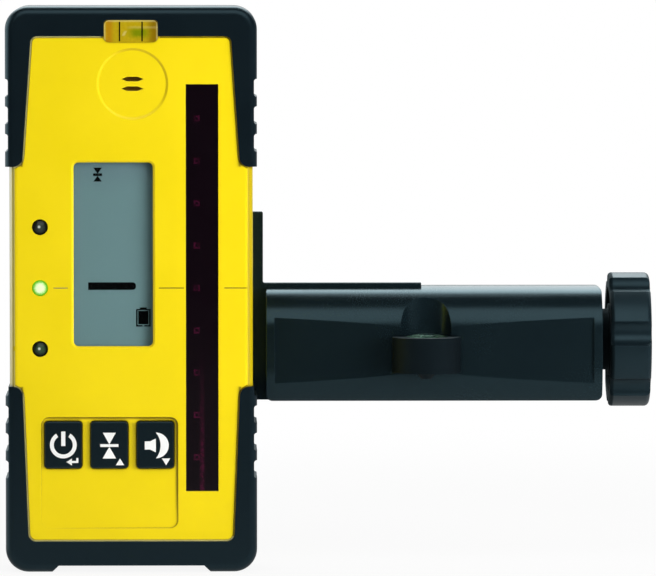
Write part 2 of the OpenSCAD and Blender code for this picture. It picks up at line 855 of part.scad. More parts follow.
module bottom_bumper() {
    color(dark_rubber) in_receiver() difference() {
        intersection() {
            rubber_form();
            depth_prism(-cut, body_d + cut) rect(-body_w, body_bottom - cut, body_w, 0);
        }
        depth_prism(-cut, body_d + cut) face_outline();
        slab_between(core_w, core_bottom, core_top, rubber_t, body_d - rubber_t, core_r, 1, 1);
    }
}

// Outline shared by the lens, the panel and the backlight
module display_outline() {
    translate([lcd_x, lcd_z]) rounded_rect(lcd_w + 2 * lens_lap, lcd_h + 2 * lens_lap, 2);
}

module display_lens() {
    color(clear) in_receiver() depth_prism(lens_d, panel_d) display_outline();
}

module display_panel() {
    color([0.55, 0.62, 0.62]) in_receiver() depth_prism(panel_d, backlight_d) display_outline();
}

module display_backlight() {
    color([0.9, 0.9, 0.88]) in_receiver() depth_prism(backlight_d, board_d) display_outline();
}

module sensor_window() {
    color([0.12, 0.04, 0.08]) in_receiver() translate([sensor_x, 0, 0]) {
        depth_prism(face_inset + 0.3, wall_in)
            square([sensor_w - 2 * fit_gap, sensor_h - 2 * fit_gap], center = true);
        depth_prism(wall_in, wall_in + sensor_flange)
            square([sensor_w + 2 * sensor_lap, sensor_h + 2 * sensor_lap], center = true);
    }
}

module photodiodes() {
    side_count = floor((sensor_h - diode_w) / 2 / diode_pitch);
    color([0.2, 0.08, 0.14]) in_receiver() for (i = [-side_count:side_count])
        translate([sensor_x, 0, i * diode_pitch])
            depth_prism(board_d - diode_t, board_d) rounded_rect(diode_w, diode_w, 0.4);
}

// A round lamp with a domed tip and a flange on the board
module lamp(place, tint) {
    tip = face_inset - 0.4;
    dome = 0.9;
    dome_r = (lamp_r * lamp_r + dome * dome) / (2 * dome);
    color(tint) in_receiver() {
        depth_rod(-lamp_x, place, tip + dome, board_d, lamp_r);
        depth_rod(-lamp_x, place, board_d - 1.2, board_d, lamp_r + 0.5);
        translate([-lamp_x, tip + dome, place]) rotate([90, 0, 0])
            rotate_extrude() intersection() {
                translate([0, dome - dome_r]) circle(dome_r, $fn = 360);
                square([lamp_r, dome]);
            }
    }
}

module lamp_high() { lamp(lamp_pitch, [0.3, 0.32, 0.3]); }

module lamp_grade() { lamp(0, [0.75, 0.95, 0.5]); }

module lamp_low() { lamp(-lamp_pitch, [0.32, 0.38, 0.3]); }

// A key: a cap through the face, a flange behind it and a stem to its switch
module key(place) {
    tip = face_inset - key_rise;
    color(black) in_receiver() translate([key_x + place * key_pitch, 0, key_z]) {
        slab(key_w, key_h, tip, key_flange_d + key_flange_t / 2, 1.1, 0.6, 0);
        depth_prism(key_flange_d, key_flange_d + key_flange_t)
            rounded_rect(key_w + 2 * key_flange, key_h + 2 * key_flange, 1.2);
        depth_rod(0, 0, key_flange_d, key_stem_end, key_stem_r);
    }
}

module power_key() { key(-1); }

module band_key() { key(0); }

module volume_key() { key(1); }

module keypad_mat() {
    color([0.35, 0.36, 0.38]) in_receiver() difference() {
        union() {
            depth_prism(board_d - mat_t, board_d)
                translate([key_x, key_z]) rounded_rect(2 * key_pitch + key_w, key_h, 2);
            for (i = [-1:1]) depth_rod(key_x + i * key_pitch, key_z, mat_top, board_d, mat_ring_r);
        }
        for (i = [-1:1])
            depth_rod(key_x + i * key_pitch, key_z, mat_top - cut, board_d + cut, mat_ring_r - mat_ring_w);
    }
}

module tact_switches() {
    color(steel) in_receiver() for (i = [-1:1])
        translate([key_x + i * key_pitch, 0, key_z]) {
            depth_prism(board_d - switch_base, board_d) square([switch_w, switch_w], center = true);
            depth_rod(0, 0, switch_top, board_d, switch_r);
        }
}

// Sounder disc and the soft ring that holds it against the case
gasket_t = 0.8;
gasket_w = 2;
speaker_disc_r = speaker_r - 0.8;

module speaker() {
    disc_t = 0.4;
    disc_end = wall_in + gasket_t + disc_t;
    element_t = 1;
    element_inset = 2.2;
    color([0.72, 0.6, 0.3]) in_receiver() {
        depth_rod(speaker_x, speaker_z, wall_in + gasket_t, disc_end, speaker_disc_r);
        depth_rod(speaker_x, speaker_z, disc_end, disc_end + element_t, speaker_disc_r - element_inset);
    }
}

module speaker_gasket() {
    color(dark_rubber) in_receiver() difference() {
        depth_rod(speaker_x, speaker_z, wall_in, wall_in + gasket_t, speaker_disc_r);
        depth_rod(speaker_x, speaker_z, wall_in - cut, wall_in + gasket_t + cut, speaker_disc_r - gasket_w);
    }
}

// Tube of the level: its block is bored from the left and closed with a plug
vial_wall = 1.4;
vial_front = face_inset + 0.4;
vial_mid = vial_front + vial_d / 2;
tube_half = vial_w / 2 - 1.2;

module vial_block() {
    color(clear) in_receiver() difference() {
        union() {
            vial_room(0, face_inset, vial_front + vial_d);
            vial_room(vial_border - 2 * fit_gap, face_inset - vial_lip, face_inset);
        }
        translate([0, vial_mid, vial_z]) x_rod(-vial_w / 2 - cut, tube_half, tube_r);
    }
}

module vial_plug() {
    color([0.8, 0.5, 0.1]) in_receiver()
        translate([0, vial_mid, vial_z]) x_rod(-vial_w / 2, -tube_half, tube_r);
}

module vial_liquid() {
    bubble_half = 1.6;
    bubble_r = 1.2;
    color(liquid) in_receiver() translate([0, vial_mid, vial_z]) difference() {
        x_rod(-tube_half, tube_half, tube_r);
        translate([0, 0, tube_r - 0.5]) {
            x_rod(-bubble_half, bubble_half, bubble_r);
            for (side = [-1, 1]) translate([side * bubble_half, 0, 0]) sphere(bubble_r);
        }
    }
}

module main_board() {
    color([0.1, 0.35, 0.2]) in_receiver() difference() {
        depth_prism(board_d, board_back)
            rounded_box(-board_half, board_bottom, board_half, board_top, 2);
        for (p = case_holes) depth_rod(p[0], p[1], board_d - cut, board_back + cut, screw_boss_r + 0.5);
        for (p = board_holes) depth_rod(p[0], p[1], board_d - cut, board_back + cut, board_screw_r + 0.2);
    }
}

module board_screws() {
    color(steel) in_receiver() for (p = board_holes) {
        depth_rod(p[0], p[1], wall_in + 1.4, board_back, board_screw_r);
        depth_rod(p[0], p[1], board_back, board_back + 1.2, 2);
    }
}

module case_screws() {
    head_d = body_d - screw_sink;
    color(steel) in_receiver() for (p = case_holes) {
        depth_rod(p[0], p[1], core_wall + 3, head_d, case_screw_r);
        difference() {
            depth_rod(p[0], p[1], head_d, head_d + case_head_t, case_head_r);
            for (turn = [0, 90])
                translate([p[0], head_d + case_head_t, p[1]])
                    rotate([0, turn, 0]) cube([2.8, 2, 0.6], center = true);
        }
    }
}

module mount_insert() {
    color(brass) in_receiver() difference() {
        depth_rod(0, lock_z, insert_d, body_d, insert_r);
        depth_rod(0, lock_z, insert_d - cut, body_d + cut, lock_r + run_gap);
    }
}

// Front outline of the plate and its reading edge, in the row's X and Z
module plate_outline() {
    left = receiver_x - plate_reach;
    right = arm_x0 - 0.9;
    high = grade_z + plate_up;
    lower_left = [left, arm_bottom];
    upper_left = [left, high];
    upper_right = [right, high];
    inner = [right, grade_z];
    tip = [tongue_l, grade_z];
    low_tip = [tongue_l, arm_bottom];
    plate_r = 4;
    plate_edge = 0.5;
    difference() {
        polygon([lower_left, upper_left, upper_right, inner, tip, low_tip]);
        corner_sliver(lower_left, upper_left, low_tip, plate_r);
        corner_sliver(upper_left, lower_left, upper_right, plate_r);
        corner_sliver(upper_right, upper_left, inner, plate_edge);
    }
    corner_sliver(inner, upper_right, tip, plate_edge);
}

// Places of the screws that hold the arm on the reading edge
arm_screw_r = 1.5;
arm_head_r = 3;
arm_head_t = 1.8;
arm_screw_grip = 6;
arm_screw_x = 5;
arm_screw_pitch = 15;
arm_screw_rise = 10;
arm_screw_places = [
    for (i = [0, 1]) for (side = [-1, 1]) [arm_screw_x + i * arm_screw_pitch, side * arm_screw_rise]];

module mount_plate() {
    tip_r = 4;
    jaw_back = seat_y + jaw_reach;
    jaw_left = [arm_x0, jaw_back];
    jaw_right = [-pad_t, jaw_back];
    pocket_h = (jaw_h - 4 * rib_t) / 3;
    rib_z = (pocket_h + rib_t) / 2;
    gusset_tip = 2;
    color(black) difference() {
        union() {
            depth_prism(plate_front, seat_y) plate_outline();
            for (side = [-1, 1])
                translate([arm_x0, seat_y, side * rib_z - rib_t / 2]) linear_extrude(rib_t)
                    polygon([
                        [-gusset_l, -root], [-gusset_l, gusset_tip], [-gusset_tip, gusset_l],
                        [root, gusset_l], [root, -root]]);
            translate([0, 0, -jaw_h / 2]) linear_extrude(jaw_h) difference() {
                rect(arm_x0, seat_y, -pad_t, jaw_back);
                corner_sliver(jaw_left, [arm_x0, seat_y], jaw_right, tip_r);
                corner_sliver(jaw_right, jaw_left, [-pad_t, seat_y], tip_r / 2);
            }
            translate([receiver_x, 0, grade_z + lock_z])
                for (side = [-1, 1]) depth_rod(0, side * pin_offset, plate_front - pin_h, seat_y, pin_r);
        }
        for (i = [-1:1])
            along_x(arm_x0 - cut, -pad_t - rib_t)
                translate([seat_y + jaw_reach / 2 + rib_t / 2, i * (pocket_h + rib_t)])
                    rounded_rect(jaw_reach - 2 * tip_r, pocket_h, 1);
        translate([receiver_x, 0, grade_z + lock_z])
            depth_rod(0, 0, plate_front - cut, seat_y + cut, lock_r + 0.3);
        depth_prism(plate_front - cut, seat_y + cut)
            rect(jaw_x0 - 1, -guide_w / 2, tongue_l + cut, guide_w / 2);
        for (p = arm_screw_places) {
            depth_rod(p[0], p[1], plate_front - cut, seat_y + cut, arm_screw_r + screw_gap);
            depth_rod(p[0], p[1], seat_y - arm_head_t - screw_gap, seat_y + cut, arm_head_r + screw_gap);
        }
    }
}

module arm_screws() {
    color(steel) for (p = arm_screw_places) {
        depth_rod(p[0], p[1], plate_front - arm_screw_grip, seat_y - screw_gap, arm_screw_r);
        depth_rod(p[0], p[1], seat_y - arm_head_t - screw_gap, seat_y - screw_gap, arm_head_r);
    }
}

// End view of the arm, inset by t: a quarter round above, a flat front and a drawn-in foot
module arm_section(t) {
    foot_r = 16;
    foot_rise = 10.5;
    difference() {
        rect(arm_front + t, arm_bottom + t, seat_y, arm_top - t);
        difference() {
            rect(arm_front - cut, arm_top - arm_d, seat_y, arm_top + cut);
            translate([seat_y, arm_top - arm_d]) circle(arm_d - t);
        }
        difference() {
            rect(arm_front - cut, arm_bottom - cut, arm_front + foot_r, arm_bottom + foot_rise);
            translate([arm_front + foot_r, arm_bottom + foot_rise]) circle(foot_r - t);
        }
    }
}

// Pockets behind the arm, over and under the jaw's guide
module arm_pockets() {
    first = level_x + level_r + rib_t;
    length = (end_x - first - 2 * rib_t) / 2;
    open = guide_w / 2 + guide_wall;
    for (i = [0, 1]) along_x(first + i * (length + rib_t), first + i * (length + rib_t) + length)
        difference() {
            union() {
                arm_section(arm_wall);
                rect(seat_y - cut, arm_bottom + arm_wall, seat_y + cut, arm_top - arm_wall);
            }
            rect(arm_front, -open, seat_y + 2 * cut, open);
        }
}

// A flat panel cut into the arm's front, deep at the arm's end and running out at the level
module arm_panel(outer, inner) {
    swing = atan(panel_cut / abs(inner - outer)) * sign(inner - outer);
    low = min(outer, inner);
    high = max(outer, inner);
    intersection() {
        translate([inner, arm_front, 0]) rotate([0, 0, -swing])
            translate([-arm_l, -2 * arm_d, arm_bottom - cut]) cube([2 * arm_l, 2 * arm_d, arm_h + 2 * cut]);
        depth_prism(arm_front - arm_d, seat_y)
            rounded_box(low, arm_bottom - 4 * cut, high, arm_top - 0.55 * arm_d, 1.5);
    }
}

module clamp_arm() {
    color(black) difference() {
        union() {
            intersection() {
                along_x(arm_x0, arm_x1) arm_section(0);
                depth_prism(arm_front - cut, seat_y + cut)
                    rounded_box(arm_x0, arm_bottom, arm_x1, arm_top, 2);
            }
            along_x(end_x, arm_x1) {
                rect(seat_y - 2, -end_r, 0, end_r);
                circle(end_r);
            }
        }
        depth_prism(plate_front, seat_y + cut) rect(arm_x0 - cut, arm_bottom - cut, tongue_l, arm_top + cut);
        depth_prism(plate_front, seat_y + cut) rect(tongue_l - cut, -guide_w / 2, guide_end, guide_w / 2);
        arm_pockets();
        arm_panel(arm_x0 + 2.6, level_x);
        arm_panel(arm_x1 - 2.6, level_x);
        translate([level_x, level_y, level_top - cut]) cylinder(h = arm_h, r = niche_r);
        translate([level_x, level_y, level_low]) cylinder(h = level_h, r = level_r + fit_gap);
        rotate([0, 90, 0]) translate([0, 0, end_x - cut]) cylinder(h = end_t + 2 * cut, r = screw_r + 0.6);
        rotate([0, 90, 0]) translate([0, 0, end_x - cut]) cylinder(h = end_t - 2 + cut, r = nut_r, $fn = 6);
        for (p = arm_screw_places)
            depth_rod(p[0], p[1], plate_front - arm_screw_grip - cut, plate_front + cut, arm_screw_r + fit_gap);
    }
}

module clamp_nut() {
    color(brass) difference() {
        rotate([0, 90, 0]) translate([0, 0, end_x]) cylinder(h = end_t - 2, r = nut_r - fit_gap, $fn = 6);
        x_rod(end_x - cut, arm_x1, screw_r + run_gap);
    }
}

// Rubber face of a jaw, with grooves across it
module jaw_pad(x0, groove_side) {
    low = seat_y + 2.5;
    high = seat_y + jaw_reach - 3.5;
    groove_x = x0 + (groove_side > 0 ? pad_t : 0);
    color(dark_rubber) difference() {
        along_x(x0, x0 + pad_t) rounded_box(low, 1.5 - jaw_h / 2, high, jaw_h / 2 - 1.5, 2);
        for (z = [-9, 9])
            translate([groove_x, (low + high) / 2, z]) cube([1, jaw_reach, 1.2], center = true);
    }
}

module fixed_pad() { jaw_pad(-pad_t, 1); }

module sliding_pad() { jaw_pad(rod_gap, -1); }

module sliding_jaw() {
    front = seat_y + 0.2;
    back = seat_y + jaw_reach;
    tip_r = 5;
    rib_reach = jaw_h / 2 - jaw_inset;
    color(black) difference() {
        union() {
            along_x(jaw_x0, jaw_x0 + jaw_face) difference() {
                rect(front, -jaw_h / 2, back, jaw_h / 2);
                for (side = [-1, 1])
                    corner_sliver(
                        [back, side * jaw_h / 2], [front, side * jaw_h / 2], [back, 0], tip_r);
            }
            x_rod(jaw_x0 + jaw_face - root, jaw_x1, boss_r);
            translate([0, -rib_t / 2, 0]) depth_prism(0, rib_t)
                polygon([
                    [jaw_x0 + jaw_face - root, -rib_reach], [jaw_x0 + jaw_face - root, rib_reach],
                    [jaw_x0 + jaw_face + jaw_inset, rib_reach], [jaw_x1 - jaw_inset, boss_r - root],
                    [jaw_x1 - jaw_inset, root - boss_r], [jaw_x0 + jaw_face + jaw_inset, -rib_reach]]);
            translate([0, 0, -rib_t / 2]) linear_extrude(rib_t)
                polygon([
                    [jaw_x0 + jaw_face - root, front], [jaw_x0 + jaw_face - root, back - jaw_inset],
                    [jaw_x0 + jaw_face + jaw_inset, back - jaw_inset], [jaw_x1 - jaw_inset, boss_r - root],
                    [jaw_x1 - jaw_inset, front]]);
            translate([jaw_x0, seat_y - guide_depth, slide_gap - guide_w / 2])
                cube([jaw_t, guide_depth + 1, guide_w - 2 * slide_gap]);
        }
        x_rod(jaw_x0 - cut, jaw_x1 + cut, journal_r + run_gap);
        x_rod(jaw_x0 - cut, jaw_x1 - jaw_wall, socket_r);
    }
}

module clamp_screw() {
    color(steel) difference() {
        union() {
            x_rod(jaw_x1 + 0.1, bore_end, screw_r);
            x_rod(journal_x, jaw_x1 + 1, journal_r);
        }
        difference() {
            x_rod(clip_x, clip_x + clip_t, journal_r + cut);
            x_rod(clip_x - cut, clip_x + clip_t + cut, clip_groove_r);
        }
    }
}

module screw_clip() {
    color(steel) difference() {
        x_rod(clip_x, clip_x + clip_t, clip_r);
        x_rod(clip_x - cut, clip_x + clip_t + cut, clip_groove_r);
        translate([clip_x - cut, -clip_groove_r, -clip_r - cut])
            cube([clip_t + 2 * cut, 2 * clip_groove_r, clip_r + cut]);
    }
}

// Half section of the knob: hub, hollowed inner face and rim with round edges
module knob_section() {
    inner_edge = [knob_r, knob_x - hub_x];
    outer_edge = [knob_r, knob_end - hub_x];
    difference() {
        union() {
            rect(0, 0, hub_r, knob_x - hub_x + 1);
            difference() {
                polygon([[0, knob_x - hub_x], inner_edge, outer_edge, [0, knob_end - hub_x]]);
                corner_sliver(inner_edge, [0, knob_x - hub_x], outer_edge, 1);
                corner_sliver(outer_edge, inner_edge, [0, knob_end - hub_x], 1.5);
            }
        }
        rect(hub_r + 1.6, knob_x - hub_x - cut, knob_r - scallop_depth - 2, knob_x - hub_x + 5);
    }
}

module clamp_knob() {
    color(black) difference() {
        translate([hub_x, 0, 0]) rotate([0, 90, 0]) rotate_extrude() knob_section();
        for (i = [0:lobes - 1])
            rotate([360 * i / lobes - lobe_turn, 0, 0])
                translate([0, -knob_r + scallop_depth - scallop_r, 0])
                    x_rod(knob_x - cut, knob_end + cut, scallop_r);
        x_rod(hub_x - cut, bore_end, screw_r);
        x_rod(knob_end - cap_t, knob_end + cut, cap_r);
    }
}

module knob_cap() {
    dome_r = (cap_r * cap_r + cap_rise * cap_rise) / (2 * cap_rise);
    color(black) translate([knob_end, 0, 0]) rotate([0, 90, 0]) rotate_extrude() {
        rect(0, -cap_t, cap_r - 0.1, 0);
        intersection() {
            translate([0, cap_rise - dome_r]) circle(dome_r, $fn = 720);
            rect(0, 0, cap_r - 0.1, cap_rise);
        }
    }
}

module level_cup() {
    color(black) translate([level_x, level_y, 0]) difference() {
        translate([0, 0, level_low]) cylinder(h = level_h, r = level_r);
        translate([0, 0, level_low + level_floor]) cylinder(h = level_h, r = glass_r);
        translate([0, 0, level_low - cut]) cylinder(h = level_floor, r = foot_shank_r);
    }
}

module level_liquid() {
    bubble_r = 2.6;
    top = level_top - glass_t;
    color(liquid) translate([level_x, level_y, 0]) difference() {
        translate([0, 0, level_low + level_floor]) cylinder(h = top - level_low - level_floor, r = glass_r);
        translate([0, 0, top + 1.4]) sphere(bubble_r);
    }
}

module level_lens() {
    dome = 1;
    dome_r = (glass_r * glass_r + dome * dome) / (2 * dome);
    color(clear) translate([level_x, level_y, level_top]) rotate_extrude() {
        rect(0, -glass_t, glass_r, 0);
        intersection() {
            translate([0, dome - dome_r]) circle(dome_r, $fn = 360);
            rect(0, 0, glass_r, dome);
        }
    }
}

module level_screw() {
    socket_w = 0.9;
    color(black) translate([level_x, level_y, level_low]) difference() {
        union() {
            translate([0, 0, -foot_screw_h])
                cylinder(h = foot_screw_h, r1 = foot_screw_tip, r2 = foot_screw_r);
            cylinder(h = level_floor - cut, r = foot_shank_r);
        }
        translate([0, 0, -foot_screw_h - cut]) cylinder(h = foot_screw_h / 2 + cut, r = socket_w, $fn = 6);
    }
}

// Moves to the lock's axis behind the plate
module at_lock() {
    translate([receiver_x, seat_y, grade_z + lock_z]) children();
}

module lock_washer() {
    color(steel) at_lock() difference() {
        depth_rod(0, 0, 0, washer_t, washer_r);
        depth_rod(0, 0, -cut, washer_t + cut, lock_r + run_gap);
    }
}

module lock_screw() {
    color(steel) at_lock() depth_rod(0, 0, -plate_t - lock_grip, washer_t + lock_knob_h - 3, lock_r);
}

module lock_knob() {
    grips = 12;
    grip_r = 2;
    base = washer_t + 0.1;
    top = washer_t + lock_knob_h;
    rim = [lock_knob_r, -top];
    color(black) at_lock() difference() {
        rotate([90, 0, 0]) rotate_extrude() difference() {
            rect(0, -top, lock_knob_r, -base);
            corner_sliver(rim, [0, -top], [lock_knob_r, -base], 2);
        }
        for (i = [0:grips - 1])
            rotate([0, 360 * i / grips, 0])
                depth_rod(lock_knob_r + 0.9, 0, base + 2, top + cut, grip_r);
        depth_rod(0, 0, base - cut, top - 3, lock_r);
    }
}

front_case();
rear_case();
case_seal();
top_bumper();
bottom_bumper();
display_lens();
display_panel();
display_backlight();
sensor_window();
photodiodes();
lamp_high();
lamp_grade();
lamp_low();
power_key();
band_key();
volume_key();
keypad_mat();
tact_switches();
speaker();
speaker_gasket();
vial_block();
vial_liquid();
vial_plug();
main_board();
board_screws();
case_screws();
battery_door();
door_seal();
batteries();
battery_contacts();
mount_insert();
mount_plate();
clamp_arm();
arm_screws();
fixed_pad();
sliding_jaw();
sliding_pad();
clamp_nut();
clamp_screw();
screw_clip();
clamp_knob();
knob_cap();
level_cup();
level_lens();
level_liquid();
level_screw();
lock_knob();
lock_screw();
lock_washer();
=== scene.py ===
# %% [markdown]
# A laser receiver on its rod clamp. A survey crew clamps the black bracket to a levelling rod, and
# the long dark window in the yellow face finds the beam of a rotating laser. The solids come from
# CAD, so this lesson doesn't model the housing again: it gives each solid the finish of its real
# material, and makes the small things that CAD leaves out, such as threads, printed signs and
# screw heads. Everything is in metres, and sizes are written in millimetres times MM.

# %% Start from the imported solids
import json
import math

import bmesh
import bpy
from mathutils import Matrix, Vector

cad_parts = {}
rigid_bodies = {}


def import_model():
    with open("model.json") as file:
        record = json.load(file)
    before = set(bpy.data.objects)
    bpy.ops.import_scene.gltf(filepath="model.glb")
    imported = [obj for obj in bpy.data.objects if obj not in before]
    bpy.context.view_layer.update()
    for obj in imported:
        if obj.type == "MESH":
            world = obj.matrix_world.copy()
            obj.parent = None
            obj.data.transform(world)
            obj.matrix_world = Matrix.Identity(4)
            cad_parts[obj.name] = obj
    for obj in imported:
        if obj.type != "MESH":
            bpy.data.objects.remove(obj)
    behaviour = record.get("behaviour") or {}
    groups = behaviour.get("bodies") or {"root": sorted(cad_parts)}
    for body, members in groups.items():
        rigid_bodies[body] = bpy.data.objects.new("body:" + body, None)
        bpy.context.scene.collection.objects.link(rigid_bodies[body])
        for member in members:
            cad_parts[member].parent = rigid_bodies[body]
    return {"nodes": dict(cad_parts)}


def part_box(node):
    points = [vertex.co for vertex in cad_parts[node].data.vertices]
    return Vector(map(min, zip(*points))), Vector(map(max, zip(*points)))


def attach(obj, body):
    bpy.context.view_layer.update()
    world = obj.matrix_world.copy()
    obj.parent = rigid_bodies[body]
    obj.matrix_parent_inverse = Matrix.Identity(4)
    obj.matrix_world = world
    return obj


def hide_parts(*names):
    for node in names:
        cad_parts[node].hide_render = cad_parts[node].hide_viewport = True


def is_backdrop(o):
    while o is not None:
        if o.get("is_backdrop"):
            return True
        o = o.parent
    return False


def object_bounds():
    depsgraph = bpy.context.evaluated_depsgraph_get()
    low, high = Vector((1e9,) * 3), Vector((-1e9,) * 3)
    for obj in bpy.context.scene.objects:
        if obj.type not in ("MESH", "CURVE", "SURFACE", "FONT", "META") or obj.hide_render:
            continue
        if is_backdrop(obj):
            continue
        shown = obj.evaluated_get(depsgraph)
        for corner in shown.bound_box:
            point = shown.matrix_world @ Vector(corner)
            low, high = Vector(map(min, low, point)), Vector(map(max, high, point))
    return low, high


for leftover in list(bpy.data.objects):
    bpy.data.objects.remove(leftover)
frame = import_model()
nodes = frame["nodes"]
cad_low, cad_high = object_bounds()
MM = 0.001
print(len(nodes), "solids,", [round(side / MM, 1) for side in cad_high - cad_low], "mm")

# %% [markdown]
# Node trees could be wired by hand, one link a line, but a formula is easier to read than a list of
# links. So one small class stands for a socket and turns sums and products into Math nodes, and a
# second one holds a tree and adds every other kind of node through a single method.

# %% Sockets that can be added and multiplied
class Value:
    """One output socket. Sums and products of Values add the Math nodes that work them out."""

    def __init__(self, graph, socket):
        self.graph, self.socket = graph, socket

    def math(self, operation, *others):
        sockets = dict(enumerate((self, *others)))
        return self.graph.add("ShaderNodeMath", {"operation": operation}, sockets)

    def __add__(self, other):
        return self.math("ADD", other)

    def __sub__(self, other):
        return self.math("SUBTRACT", other)

    def __rsub__(self, other):
        return self * -1 + other

    def __mul__(self, other):
        return self.math("MULTIPLY", other)

    def __truediv__(self, other):
        return self.math("DIVIDE", other)

    def __abs__(self):
        return self.math("ABSOLUTE")

    __radd__ = __add__
    __rmul__ = __mul__


class Graph:
    """A node tree. add() makes any node: its type, its settings, then its sockets' values or links."""

    def __init__(self, tree):
        self.tree = tree

    def add(self, kind, settings=None, sockets=None, out=0):
        node = self.tree.nodes.new(kind)
        for name, value in (settings or {}).items():
            setattr(node, name, value)
        for key, value in (sockets or {}).items():
            self.feed(node.inputs[key], value)
        if isinstance(out, tuple):
            return [Value(self, node.outputs[key]) for key in out]
        return Value(self, node.outputs[out]) if out is not None else node

    def feed(self, socket, value):
        if isinstance(value, Value):
            self.tree.links.new(value.socket, socket)
        else:
            socket.default_value = value

    def rise(self, value, low, high):
        """0 below low, 1 above high and a smooth step between them."""
        return self.add("ShaderNodeMapRange", {"interpolation_type": "SMOOTHSTEP"},
                        {0: value, 1: low, 2: high})

    def fall(self, value, low, high):
        """1 below low and 0 above high."""
        return 1 - self.rise(value, low, high)

    def axes(self, vector):
        return self.add("ShaderNodeSeparateXYZ", {}, {0: vector}, out=(0, 1, 2))

    def blend(self, share, first, second):
        """The first colour where the share is 0, the second where it is 1."""
        return self.add("ShaderNodeMix", {"data_type": "RGBA"}, {0: share, 6: first, 7: second}, out=2)


def length(first, second):
    """The straight distance over two sides at a right angle."""
    return (first * first + second * second).math("SQRT")


# %% [markdown]
# A finish is one material. Photographs give colours as numbers from 0 to 255, and a shader works with
# light, which isn't spaced that way, so rgb() converts them. Patterns read Object coordinates, which
# here are metres in the frame of the whole part: a grain of 0.3 mm stays 0.3 mm on every piece.

# %% Finishes
def rgb(red, green, blue):
    """A colour as a picture gives it, made linear."""
    def linear(level):
        level /= 255
        return level / 12.92 if level <= 0.04045 else ((level + 0.055) / 1.055) ** 2.4
    return (linear(red), linear(green), linear(blue), 1.0)


def shade(colour, factor):
    return tuple(level * factor for level in colour[:3]) + (1.0,)


class Finish(Graph):
    """A material round one Principled shader."""

    def __init__(self, name, constants=None):
        self.material = bpy.data.materials.new(name)
        self.material.use_nodes = True
        super().__init__(self.material.node_tree)
        self.shader = self.tree.nodes["Principled BSDF"]
        self.place = self.add("ShaderNodeTexCoord", out="Object")
        self.set(constants or {})

    def set(self, sockets):
        for name, value in sockets.items():
            self.feed(self.shader.inputs[name], value)

    def noise(self, size, detail=2.0):
        """Soft random spots about size millimetres across."""
        return self.add("ShaderNodeTexNoise", {}, {
            "Vector": self.place, "Scale": 1 / (size * MM), "Detail": detail})

    def soft_edges(self, radius):
        """The normal with every edge rounded over, and a mask that is above 0 only near edges."""
        soft = self.add("ShaderNodeBevel", {"samples": 6}, {"Radius": radius * MM})
        flat = self.add("ShaderNodeNewGeometry", out="Normal")
        same = self.add("ShaderNodeVectorMath", {"operation": "DOT_PRODUCT"},
                        {0: soft, 1: flat}, out="Value")
        return soft, 1 - same

    def rubbed(self, edges, patch):
        """Edges worn by handling, in patches about so many millimetres across."""
        return self.rise(edges, 0.02, 0.3) * self.rise(self.noise(patch, 4.0), 0.35, 0.75)

    def corners(self, reach):
        """0 on open faces, rising to 1 in inner corners and along seams within reach millimetres."""
        open_share = self.add("ShaderNodeAmbientOcclusion", {"samples": 8},
                              {"Distance": reach * MM}, out="AO")
        return self.fall(open_share, 0.35, 0.95)

    def bump(self, height, depth, normal=None):
        """A normal that follows a pattern as if it stood depth millimetres high."""
        sockets = {"Height": height, "Distance": depth * MM, "Strength": 1.0}
        if normal:
            sockets["Normal"] = normal
        return self.add("ShaderNodeBump", {}, sockets)


def moulded(name, colour, worn, rough, grain, depth, edge, wear, constants=None, lines=None):
    """Moulded plastic or rubber: eroded grain, cloudy gloss and edges rubbed to the worn colour.

    Grain, its depth and the edge's radius are in millimetres. lines() may paint over the plain tone.
    """
    finish = Finish(name, constants)
    fine, cloud = finish.noise(grain, 3.0), finish.noise(22.0, 3.0)
    soft, edges = finish.soft_edges(edge)
    rubbed = finish.rubbed(edges, 5.0) * wear
    tone = finish.blend(cloud, shade(colour, 0.94), shade(colour, 1.05))
    if lines:
        tone = lines(finish, tone)
    finish.set({
        "Base Color": finish.blend(rubbed, tone, worn),
        "Roughness": rough + (cloud - 0.5) * 0.16 + (fine - 0.5) * 0.12 - rubbed * 0.15,
        "Normal": finish.bump(fine, depth, soft),
    })
    return finish.material


def dress(material, *names):
    """Gives CAD nodes a finish."""
    for name in names:
        slots = nodes[name].material_slots
        if not slots:
            nodes[name].data.materials.append(None)
        for slot in slots:
            slot.material = material
    print(material.name, "on", ", ".join(names))


# %% [markdown]
# The housing is yellow ABS with a very fine spark-eroded grain, and yellow shows every step of the mould.
# A narrow ledge beside the rubber, at the left and below, gets a painted highlight. Painted shade darkens
# the inner corners and seams, two walls of the recess round the keys, the far rim of the speaker's dish,
# the turn from both long edges into the face and the right long edge. The left long edge gets a painted
# reflection. The steps are there in CAD, so depth, slope and place tell the shader where each line lies.

# %% Places on the housing
FRONT_DEEP = 2.6 * MM
LEDGE_DEEP = 0.3 * MM
DISH_RADIUS = 12.5 * MM
# how far the recess reaches past the keys
RECESS_BESIDE, RECESS_ABOVE, RECESS_BELOW = 2.0 * MM, 2.5 * MM, 19.5 * MM
WALL_WIDE = 1.0 * MM
EDGE_WIDE = 2.6 * MM
# how softly a mask ends
BLUR = 0.2 * MM


def middle_of(box):
    return (box[0] + box[1]) / 2


